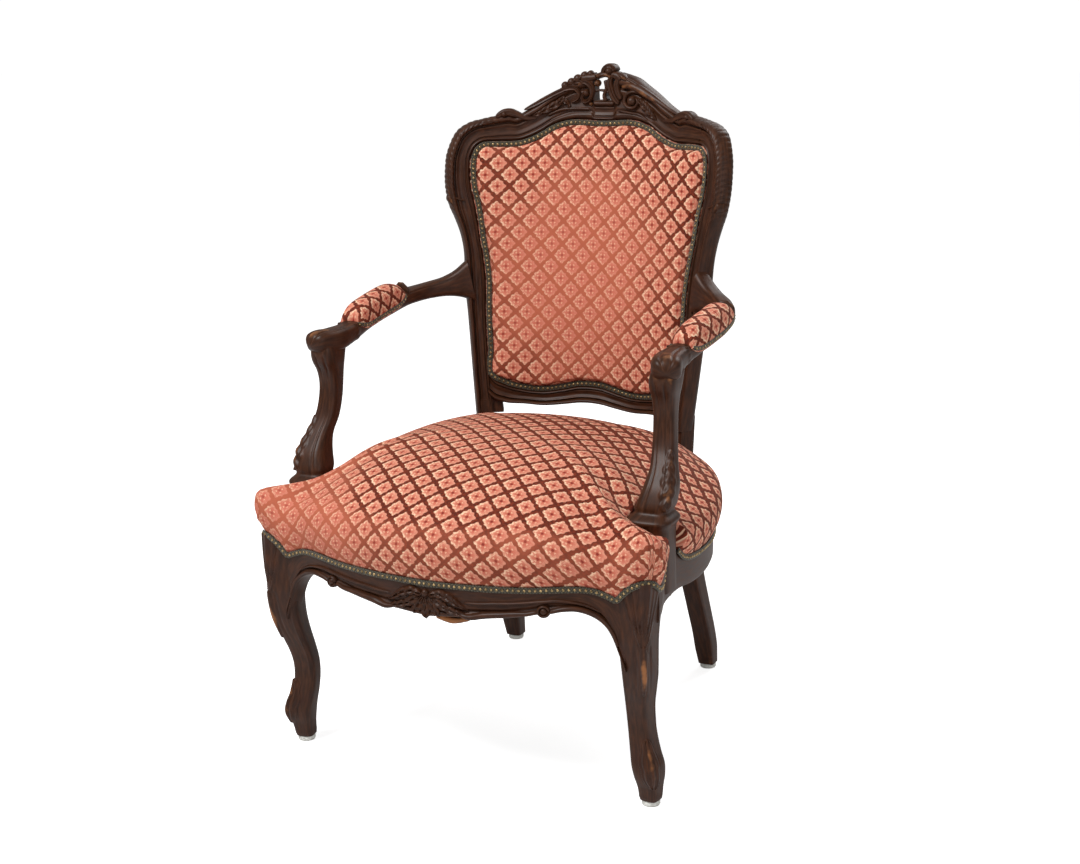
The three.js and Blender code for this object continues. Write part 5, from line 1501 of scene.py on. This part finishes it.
class Seat:
    """The stuffed and sprung seat under its cloth."""

    RINGS = np.array(
        [
            [0.0, 0.0, 1.00, 0.00],
            [1.0, 0.75, 1.00, 0.15],
            [2.0, 1.00, 1.00, 0.31],
            [3.0, 0.45, 1.00, 0.46],
            [4.0, 0.00, 0.94, 0.57],
            [5.0, 0.00, 0.80, 0.74],
            [6.0, 0.00, 0.58, 0.89],
            [7.0, 0.00, 0.28, 0.98],
            [8.0, 0.00, 0.02, 1.00],
        ]
    )

    def __init__(self, velvet: bpy.types.Material, sizes: SeatSizes = SeatSizes()) -> None:
        """Keeps the cloth and the sizes, and lays out the plan line."""
        self.velvet = velvet
        self.sizes = sizes
        right = plan_line(np.arange(len(SEAT_PLAN)))
        rear_x = np.array([0.66, 0.50, 0.25]) * BACK_HALF_WIDTH
        rear = on_back(rear_x, np.full(3, RAIL_TOP), np.full(3, 22.0))[:, :2]
        half = np.vstack([right, rear, on_back(0, RAIL_TOP, 22.0)[:2]])
        loop = np.vstack([half, (half[1:-1] * [-1, 1])[::-1]])
        self.line = even_ring(loop, sizes.columns, self.weight)
        normal = plane_normals(self.line, closed=True)
        if np.sum(normal * (self.line - sizes.centre)) < 0:
            normal = -normal
        kernel = np.hanning(9) / np.hanning(9).sum()
        wrapped = np.vstack([normal[-4:], normal, normal[:4]])
        normal = np.column_stack([np.convolve(wrapped[:, k], kernel, "valid") for k in range(2)])
        self.normal = normal / np.linalg.norm(normal, axis=1, keepdims=True)

    @staticmethod
    def weight(p: np.ndarray) -> np.ndarray:
        """More columns at the arm supports and at the front corners."""
        near = bell(np.abs(p[:, 1] + 216.3), 27, 7) * (np.abs(p[:, 0]) > 200)
        corner = bell(np.hypot(np.abs(p[:, 0]) - 307, p[:, 1] + 316), 0, 30)
        return 1 + 7 * near + 2 * corner

    def build(self) -> bpy.types.Object:
        """Builds the cushion.

        Rings run from the edge over the bulge to the crown. The height falls near the arm supports
        and at the front corners, the side is drawn back behind each support, and small waves stand
        for the tucks at the front corners.

        Returns:
            The cushion's object.
        """
        s = self.sizes
        centre = np.array(s.centre)
        at = np.r_[np.linspace(0, 4, 26), np.linspace(4, 8, 40)[1:]]
        ring = read_table(self.RINGS, at)
        spread = self.line - centre
        slim = 1 - 0.45 * bell(self.line[:, 1], -262, 40) * (np.abs(self.line[:, 0]) > 200)
        slim = slim * (1 - 0.97 * ease(self.line[:, 1], 70, 138))
        plan = centre + ring[:, 1][:, None, None] * spread
        plan = plan + ring[:, 0][:, None, None] * (s.bulge * slim)[None, :, None] * self.normal
        x, y = plan[..., 0], plan[..., 1]
        foot = seat_foot(self.line[:, 0], self.line[:, 1])
        height = np.clip(ring[:, 2], 0, 1)[:, None]
        dip = 28 * bell(np.hypot(np.abs(x) - 256, (y + 240) * 0.9), 0, 64)
        dip = dip - 9 * bell(np.hypot(np.abs(x) - 300, y + 290), 0, 60)
        dip = dip + 20 * bell(y, -125, 150) * bell(np.abs(x), 300, 110)
        z = foot + (s.crown - foot) * height - dip * np.minimum(2 * height, 1)
        wall = (1 - ease(at, 3.2, 5.2))[:, None] * ease(at, 0.2, 1.0)[:, None]
        away = np.abs(np.abs(x) - 305) + np.abs(y + 314)
        tuck = np.cos(2 * np.pi * away / 11.0) * bell(away, 0, 34) * wall * 1.5
        plan = plan + self.normal * tuck[..., None]
        x, y = plan[..., 0], plan[..., 1]
        limit = 238.0
        beside = 1 - ease(np.abs(y + 216.3), 24.5, 31.0)
        pinch = beside * np.maximum(np.abs(x) - limit, 0)
        shaped = np.stack([x - np.sign(x) * pinch, y], -1)
        grid = np.concatenate([shaped, z[..., None]], axis=-1)
        flat = np.concatenate([plan, z[..., None]], axis=-1)
        front = ease(-self.line[:, 1], 306, 312)
        rear = ease(self.line[:, 1], 143, 147)
        out = np.stack([np.sign(self.line[:, 0]) * (1 - front) * (1 - rear), rear - front], -1)
        out = out / np.linalg.norm(out, axis=1, keepdims=True)
        uv = unroll(flat, plan, out)
        pulled = np.sign(x) * pinch * MM
        uv[..., 0] -= np.concatenate([pulled, pulled[:, :1]], axis=1)
        # Painted pile sheen: the velvet pattern is softened and lightened over the left of the seat and along its
        # front wall.
        soft = 0.75 * ease(-x, 30, 250) + 0.45 * (1 - ease(at, 3.0, 4.4))[:, None] * ease(-y, 250, 300)
        skin = Skin("seat_cushion")
        # Painted pile shade: towards the rear of the seat, fading out to its left side, the flowers shrink and the
        # dark trellis thickens.
        closed = ease(y, -190, 40) * ease(x, -220, 60)
        skin.add(grid, uv=uv, wear_and_painted_light=np.clip(soft, 0, 0.95) - closed)
        piece = skin.build(self.velvet, "velvet", ["seat_cover", "seat_stuffing", "seat_hessian"], 80)
        return piece

    def braid_line(self, rise: float, out: float) -> np.ndarray:
        """The line along the cloth's edge, as points in space."""
        spot = self.line + self.normal * out
        return np.column_stack([spot, seat_foot(self.line[:, 0], self.line[:, 1]) + rise])


class BackPanel:
    """The stuffed inside of the back."""

    RINGS = np.array(
        [
            [0.0, 0.0, 1.00, 0.00],
            [1.0, 0.9, 1.00, 0.05],
            [2.0, 1.3, 1.00, 0.36],
            [3.0, 2.2, 0.98, 0.72],
            [4.0, 2.2, 0.60, 0.97],
            [5.0, 2.0, 0.30, 1.00],
            [6.0, 0.0, 0.02, 1.00],
        ]
    )

    def __init__(self, velvet: bpy.types.Material) -> None:
        """Keeps the cloth and lays out the panel's edge."""
        self.velvet = velvet
        right = back_lines(np.linspace(2.2, 39.8, 140))[:, 2:]
        low_x = np.linspace(-0.62, 0.62, 40)
        low = np.column_stack([low_x * BACK_HALF_WIDTH, back_height(read_table(BOTTOM_RAIL, np.abs(low_x))[:, 0])])
        start = back_lines(np.array([0.85, 1.4]))[:, 2:]
        end = start[::-1] * [-1, 1]
        self.line = even_ring(np.vstack([start, right, end, low]), 520, lambda p: np.ones(len(p)))
        normal = plane_normals(self.line, closed=True)
        middle = np.array([0.0, 0.70 * OVERALL_HEIGHT])
        if np.sum(normal * (self.line - middle)) < 0:
            normal = -normal
        self.normal = normal
        kernel = np.hanning(33) / np.hanning(33).sum()
        wrapped = np.vstack([normal[-16:], normal, normal[:16]])
        self.drawn = np.column_stack([np.convolve(wrapped[:, k], kernel, "valid") for k in range(2)])
        self.middle = middle

    def build(self) -> bpy.types.Object:
        """Builds the panel: rings from the edge to the middle, rising forward from the frame's rebate."""
        at = np.linspace(0, 6, 60)
        ring = read_table(self.RINGS, at)
        spread = self.line - self.middle
        plan = self.middle + ring[:, 1][:, None, None] * spread - (ring[:, 0] * 9)[:, None, None] * self.drawn
        plan = self.middle + (plan - self.middle) * 0.996
        depth = 3.0 - np.clip(ring[:, 2], 0, 1) * 18.0
        behind = self.middle + np.linspace(0.02, 1, 14)[:, None, None] * (plan[0] - self.middle)
        plan = np.concatenate([behind, plan])
        depth = np.r_[np.full(14, depth[0]), depth]
        grid = on_back(plan[..., 0], plan[..., 1], depth[:, None])
        inward = ring[:, 0] * 9 + (1 - ring[:, 1]) * 200
        step = np.abs(np.gradient(inward))
        fold = np.cumsum((np.hypot(step, np.gradient(depth[14:])) - step)[::-1])[::-1]
        fold = np.r_[np.full(14, fold[0]), fold]
        flat = plan + fold[:, None, None] * self.drawn
        flat = np.concatenate([flat, flat[:, :1]], axis=1) * MM
        skin = Skin("back_panel")
        # Painted pile sheen: the velvet pattern is softened and lightened about the middle of the back.
        middle = bell(plan[..., 0], -25, 180) * bell(plan[..., 1], 650, 220)
        skin.add(grid, uv=flat, wear_and_painted_light=np.clip(middle, 0, 1))
        piece = skin.build(self.velvet, "velvet", ["back_cover", "back_stuffing", "back_hessian"], 80)
        return piece

    def outside(self) -> bpy.types.Object:
        """The flat cloth on the rear of the back."""
        share = np.linspace(1, 0.02, 24)[:, None, None]
        plan = self.middle + share * (self.line + self.normal * 3 - self.middle)
        rear = on_back(plan[..., 0], plan[..., 1], np.full(plan.shape[:2], 30.2))
        fore = on_back(plan[..., 0], plan[..., 1], np.full(plan.shape[:2], 28.8))
        skin = Skin("outside_back")
        grid = np.concatenate([fore[::-1], rear])
        uv = np.concatenate([plan[::-1], plan]) * MM
        skin.add(grid, uv=np.concatenate([uv, uv[:, :1]], axis=1))
        piece = skin.build(self.velvet, "velvet", ["outside_back_cover"], 80)
        ring = rear[0]
        log.info("outside back: %d points round", len(ring))
        return piece


@dataclass(frozen=True)
class Braid:
    """A woven band with a row of nails along its middle.

    Attributes:
        width: the band's width.
        thickness: how far it stands up.
        pitch: distance between nails.
        head: radius of a nail's head.
    """

    width: float = 8.5
    thickness: float = 2.0
    pitch: float = 7.4
    head: float = 1.9

    def band(self, skin: Skin, path: np.ndarray, out: np.ndarray, closed: bool) -> None:
        """Adds the band to a skin.

        Args:
            skin: the mesh that it joins.
            path: points along the band's middle.
            out: unit vectors out of the surface that it lies on.
            closed: whether its ends meet.
        """
        run = np.roll(path, -1, axis=0) - np.roll(path, 1, axis=0) if closed else np.gradient(path, axis=0)
        run = run / np.maximum(np.linalg.norm(run, axis=1, keepdims=True), 1e-9)
        across = np.cross(run, out)
        across /= np.maximum(np.linalg.norm(across, axis=1, keepdims=True), 1e-9)
        angle = np.linspace(0, 2 * np.pi, 16, endpoint=False)
        side = np.sign(np.cos(angle)) * np.abs(np.cos(angle)) ** 0.6 * self.width / 2
        rise = np.sign(np.sin(angle)) * np.abs(np.sin(angle)) ** 0.6 * self.thickness / 2 + self.thickness / 2
        length = np.r_[0, np.cumsum(np.linalg.norm(np.diff(path, axis=0), axis=1))]
        pinch = 1 + 0.05 * np.sin(2 * np.pi * length / 4.2)[:, None]
        section = np.stack([side * pinch, np.broadcast_to(rise, (len(path), 16))], -1)
        grid = tube(path, across, out, section)
        u = np.r_[np.cumsum(np.r_[0, np.hypot(np.diff(side), np.diff(rise))]), 0] * MM
        u[-1] = u[-2] + 0.001
        v = (np.r_[length, length[-1] + 2] if closed else length) * MM
        skin.add(grid, ring=closed, uv=np.stack(np.meshgrid(u, v), -1))

    def nails(self, skin: Skin, path: np.ndarray, out: np.ndarray, closed: bool) -> None:
        """Adds a row of low domes along the path."""
        pts = np.vstack([path, path[:1]]) if closed else path
        dirs = np.vstack([out, out[:1]]) if closed else out
        run = np.r_[0, np.cumsum(np.linalg.norm(np.diff(pts, axis=0), axis=1))]
        count = max(int(run[-1] / self.pitch), 2)
        at = (np.arange(count) + 0.5) * run[-1] / count
        for a in at:
            p = np.array([np.interp(a, run, pts[:, k]) for k in range(3)])
            n = np.array([np.interp(a, run, dirs[:, k]) for k in range(3)])
            n /= np.linalg.norm(n)
            side = np.cross(n, [0.3, 0.5, 0.81])
            side /= np.linalg.norm(side)
            other = np.cross(n, side)
            turn = np.linspace(0, 2 * np.pi, 9, endpoint=False)[None, :, None]
            r = np.array([1.0, 1.0, 0.85, 0.5])[:, None, None] * self.head
            h = (np.array([-0.5, 0.15, 0.45, 0.66])[:, None, None] * self.head) + self.thickness
            grid = p + r * (np.cos(turn) * side + np.sin(turn) * other) + h * n
            skin.add(grid)


def path_frame(path: np.ndarray, out: np.ndarray) -> np.ndarray:
    """Unit vectors out of a surface, square to the path."""
    run = np.gradient(path, axis=0)
    run /= np.maximum(np.linalg.norm(run, axis=1, keepdims=True), 1e-9)
    flat = out - (out * run).sum(axis=1, keepdims=True) * run
    return flat / np.maximum(np.linalg.norm(flat, axis=1, keepdims=True), 1e-9)


class Trimmings:
    """Braids and nails along the back panel, the seat and the arm pads."""

    def __init__(self, thread: bpy.types.Material, brass: bpy.types.Material) -> None:
        """Keeps the finishes."""
        self.thread = thread
        self.brass = brass
        self.braid = Braid()

    def lay(self, name: str, path: np.ndarray, out: np.ndarray, closed: bool, node: str, braid: Braid | None = None) -> None:
        """Lays one braid with its nails."""
        braid = braid or self.braid
        band = Skin(name)
        braid.band(band, path, out, closed)
        band.build(self.thread, "gimp", [node], 60)
        heads = Skin(f"{name}_nails")
        braid.nails(heads, path, out, closed)
        heads.build(self.brass, "gimp", [], 70)

    def back(self, panel: BackPanel) -> None:
        """The braid round the back panel."""
        spot = panel.line - panel.normal * 5.0
        path = on_back(spot[:, 0], spot[:, 1], np.full(len(spot), 1.2))
        ahead = on_back(spot[:, 0], spot[:, 1], np.full(len(spot), -8.8))
        out = (ahead - path) / 10.0
        self.lay("back_braid", path, out / np.linalg.norm(out, axis=1, keepdims=True), True, "back_gimp")

    def seat(self, seat: Seat) -> None:
        """The braids along the seat's front and sides."""
        path = seat.braid_line(-3.5, 0.9)
        out = np.column_stack([seat.normal, np.zeros(len(path))])
        front = np.nonzero(path[:, 1] < -0.655 * SEAT_DEPTH)[0]
        order = front[np.argsort(np.arctan2(path[front, 0], -path[front, 1] - 100))]
        self.lay("seat_front_braid", path[order], path_frame(path[order], out[order]), False, "seat_gimp_front")
        for side in Side:
            on = (path[:, 0] * side.value > 150) & (path[:, 1] >= -0.515 * SEAT_DEPTH) & (path[:, 1] < 140)
            pick = np.nonzero(on)[0]
            pick = pick[np.argsort(path[pick, 1])]
            self.lay(f"seat_side_braid_{side.word}", path[pick], path_frame(path[pick], out[pick]), False, f"seat_gimp_side_{side.word}")

    def arm(self, arm: Arm) -> None:
        """The braid round an arm pad's foot."""
        line = smooth_path(np.vstack([arm.foot_line, arm.foot_line[:1]]), 160)[:-1]
        middle = line.mean(axis=0)
        run = np.roll(line, -1, axis=0) - np.roll(line, 1, axis=0)
        run /= np.linalg.norm(run, axis=1, keepdims=True)
        up = mirror(arm.foot_up, arm.side)
        out = np.cross(run, up)
        out /= np.linalg.norm(out, axis=1, keepdims=True)
        if np.sum(out * (line - middle)) < 0:
            out = -out
        braid = Braid(width=6.0, thickness=1.8, pitch=7.4, head=1.5)
        self.lay(f"arm_braid_{arm.side.word}", line + up * 2.2 - out * 0.6, out, True, f"arm_gimp_{arm.side.word}", braid)


class Underside:
    """Dust cover, webbing and feet."""

    def dust_cover(self, cloth: bpy.types.Material, seat: Seat) -> None:
        """The black cloth tacked under the rails."""
        low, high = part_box("dust_cover")
        inner = seat.line - seat.normal * 33.0
        shares = np.linspace(1, 0.02, 16)[:, None, None]
        plan = np.array([0, -90.0]) + shares * (inner - np.array([0, -90.0]))
        sag = 1.6 * (1 - shares[..., 0] ** 2)
        z = (low.z / MM) - sag + np.zeros(plan.shape[:2])
        under = np.concatenate([plan, z[..., None]], -1)
        over = under + [0, 0, 1.2]
        skin = Skin("dust_cloth_cover")
        skin.add(np.concatenate([over[::-1], under]))
        piece = skin.build(cloth, "dust_cloth", ["dust_cover"], 60)

    def webbing(self, cloth: bpy.types.Material) -> None:
        """Six bands of webbing, woven over and under, as long as their CAD strips."""
        names = sorted(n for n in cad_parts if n.startswith("webbing_"))
        for name in names:
            low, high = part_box(name)
            low, high = np.array(low) / MM, np.array(high) / MM
            low[1] -= SHIFT_Y
            high[1] -= SHIFT_Y
            cross = (high - low)[0] > (high - low)[1]
            run = np.linspace(0, 1, 60)
            wide = np.linspace(0, 1, 5)
            first, second = (0, 1) if cross else (1, 0)
            a = low[first] + (high - low)[first] * run
            b = low[second] + (high - low)[second] * wide
            wave = 0.7 * np.sin(run * np.pi * 6) * (1 if cross else -1)
            middle = (low[2] + high[2]) / 2
            top = np.zeros((60, 5, 3))
            top[..., first] = a[:, None]
            top[..., second] = b[None]
            top[..., 2] = (middle + wave)[:, None] + 0.7
            under = top - [0, 0, 1.4]
            skin = Skin(f"{name}_band")
            skin.add(np.concatenate([top, under[:, ::-1]], axis=1))
            piece = skin.build(cloth, "hessian", [name], 60)

    def glides(self, finish: bpy.types.Material) -> None:
        """Round nylon glides with a softened rim."""
        for name in [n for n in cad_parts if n.endswith(("glide_right", "glide_left"))]:
            low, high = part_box(name)
            low, high = np.array(low) / MM, np.array(high) / MM
            middle = (low + high) / 2
            middle[1] -= SHIFT_Y
            reach = (high - low)[0] / 2
            top = high[2]
            profile = np.array([[0.1, 0], [0.82, 0.0], [0.93, 0.6], [1.0, 2.2], [1.0, top - 1.4], [0.94, top - 0.3], [0.3, top]])
            turn = np.linspace(0, 2 * np.pi, 40, endpoint=False)
            x = middle[0] + reach * profile[:, :1] * np.cos(turn)
            y = middle[1] + reach * profile[:, :1] * np.sin(turn)
            z = np.broadcast_to(profile[:, 1:], x.shape)
            skin = Skin(f"{name}_pad")
            skin.add(np.stack([x, y, z], -1))
            skin.build(finish, "glide", [name], 50)


# Studio


@dataclass(frozen=True)
class View:
    """The photograph's camera: place in millimetres, turns in degrees, lens on a 36 mm sensor."""

    place: tuple = (1080.43, -2262.41, 1053.13)
    azimuth: float = 25.578
    elevation: float = 13.6512
    roll: float = -1.0
    lens: float = 56.68


class Studio:
    """Floor, lights and camera."""

    def camera(self, view: View = View()) -> None:
        """Sets up the camera from the view."""
        a, e, r = (math.radians(v) for v in (view.azimuth, view.elevation, view.roll))
        back = np.array([math.sin(a) * math.cos(e), -math.cos(a) * math.cos(e), math.sin(e)])
        right = np.cross(-back, [0, 0, 1])
        right /= np.linalg.norm(right)
        up = np.cross(right, -back)
        turned = right * math.cos(r) + up * math.sin(r)
        tall = -right * math.sin(r) + up * math.cos(r)
        data = bpy.data.cameras.new("camera")
        data.sensor_fit = "HORIZONTAL"
        data.sensor_width = 36.0
        data.lens = view.lens
        data.clip_end = 60
        camera = bpy.data.objects.new("camera", data)
        bpy.context.scene.collection.objects.link(camera)
        place = np.array(view.place) + [0, SHIFT_Y, 0]
        matrix = np.eye(4)
        matrix[:3, :3] = np.column_stack([turned, tall, back])
        matrix[:3, 3] = place * MM
        camera.matrix_world = Matrix(matrix.tolist())
        bpy.context.scene.camera = camera

    def floor(self) -> None:
        """A wide pale floor."""
        bpy.ops.mesh.primitive_plane_add(size=60, location=(0, 0, 0))
        floor = bpy.context.object
        floor.name = "studio_floor"
        s = Shader("studio_floor")
        ray = s.nodes.new("ShaderNodeLightPath")
        glow = s.nodes.new("ShaderNodeEmission")
        glow.inputs["Color"].default_value = (1, 1, 1, 1)
        glow.inputs["Strength"].default_value = 0.72
        s.set(Base_Color=(0.86, 0.86, 0.87), Roughness=0.9)
        add = s.nodes.new("ShaderNodeAddShader")
        mix = s.nodes.new("ShaderNodeMixShader")
        out = s.nodes["Material Output"]
        s.link(s.surface.outputs[0], add.inputs[0])
        s.link(glow.outputs[0], add.inputs[1])
        s.link(ray.outputs["Is Camera Ray"], mix.inputs[0])
        s.link(s.surface.outputs[0], mix.inputs[1])
        s.link(add.outputs[0], mix.inputs[2])
        s.link(mix.outputs[0], out.inputs["Surface"])
        floor.data.materials.append(s.material)

    def world(self) -> None:
        """A soft grey sky that is white to the camera."""
        world = bpy.data.worlds.new("studio")
        world.use_nodes = True
        tree = world.node_tree
        sky = tree.nodes["Background"]
        sky.inputs["Color"].default_value = (1.0, 0.98, 0.95, 1)
        sky.inputs["Strength"].default_value = 0.34
        white = tree.nodes.new("ShaderNodeBackground")
        white.inputs["Color"].default_value = (1, 1, 1, 1)
        white.inputs["Strength"].default_value = 1.05
        ray = tree.nodes.new("ShaderNodeLightPath")
        mix = tree.nodes.new("ShaderNodeMixShader")
        tree.links.new(ray.outputs["Is Camera Ray"], mix.inputs[0])
        tree.links.new(sky.outputs[0], mix.inputs[1])
        tree.links.new(white.outputs[0], mix.inputs[2])
        tree.links.new(mix.outputs[0], tree.nodes["World Output"].inputs["Surface"])
        bpy.context.scene.world = world

    def lamp(self, name: str, place: tuple, aim: tuple, size: float, power: float) -> None:
        """An area lamp aimed at a point."""
        data = bpy.data.lights.new(name, "AREA")
        data.shape = "DISK"
        data.size = size
        data.energy = power
        lamp = bpy.data.objects.new(name, data)
        bpy.context.scene.collection.objects.link(lamp)
        back = np.array(place, float) - np.array(aim, float)
        back /= np.linalg.norm(back)
        right = np.cross([0, 0, 1.0], back)
        right /= np.linalg.norm(right)
        matrix = np.eye(4)
        matrix[:3, :3] = np.column_stack([right, np.cross(back, right), back])
        matrix[:3, 3] = place
        lamp.matrix_world = Matrix(matrix.tolist())

    def build(self) -> None:
        """Builds the whole studio."""
        self.camera()
        self.floor()
        self.world()
        self.lamp("key", (-0.9, -1.9, 3.5), (0, 0, 0.6), 1.5, 128)
        self.lamp("fill", (2.8, -1.8, 1.8), (0, 0, 0.5), 2.0, 24)
        self.lamp("rim", (0.6, 2.6, 2.6), (0, 0, 0.7), 1.8, 34)
        bpy.context.scene.view_settings.view_transform = "Standard"


class Chair:
    """The whole chair."""

    def __init__(self) -> None:
        """Makes the finishes."""
        self.wood = StainedWood().make()
        self.wood_plain = StainedWood("stained_wood_plain", kind="Object").make()
        self.velvet = TrellisVelvet().make()
        self.thread = BraidThread().make()
        self.brass = Metal("aged_brass", (0.52, 0.37, 0.18), (0.12, 0.08, 0.04), 0.30).make()
        self.steel = Metal("spring_steel", (0.42, 0.40, 0.38), (0.16, 0.13, 0.11), 0.35).make()
        self.glide = Metal("pale_nylon", (0.72, 0.72, 0.68), (0.50, 0.49, 0.45), 0.35, 0.0).make()
        self.raw = RawWood().make()
        self.dust = PlainCloth("black_dust_cloth", (0.03, 0.03, 0.032), (0.008, 0.008, 0.009), 0.0016).make()
        self.web = PlainCloth("jute_webbing", (0.46, 0.33, 0.18), (0.20, 0.13, 0.06), 0.003).make()

    def build(self) -> None:
        """Builds every piece."""
        back = BackFrame(self.wood)
        for side in Side:
            back.stile(side)
            FrontLeg(side, self.wood).build()
        back.crest()
        back.bottom_rail()
        rails = Rails(self.wood)
        rails.front()
        seat = Seat(self.velvet)
        seat.build()
        panel = BackPanel(self.velvet)
        panel.build()
        panel.outside()
        trim = Trimmings(self.thread, self.brass)
        trim.back(panel)
        trim.seat(seat)
        for side in Side:
            rails.side(side)
            arm = Arm(side, self.wood, self.velvet)
            arm.rail()
            arm.support()
            arm.pad()
            trim.arm(arm)
        under = Underside()
        under.dust_cover(self.dust, seat)
        under.webbing(self.web)
        under.glides(self.glide)
        self.paint_kept()

    def paint_kept(self) -> None:
        """Gives the CAD nodes that stay their materials."""
        for name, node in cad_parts.items():
            if name.startswith("seat_spring") or name.startswith("corner_screw"):
                finish = self.steel
            elif name.startswith("corner_block"):
                finish = self.raw
            elif name == "rear_rail":
                finish = self.wood_plain
            else:
                continue
            node.data.materials.clear()
            node.data.materials.append(finish)


def main() -> None:
    """Builds the chair and its studio."""
    logging.basicConfig(level=logging.INFO, format="%(name)s %(message)s")
    Chair().build()
    Studio().build()


if __name__ == "__main__":
    main()
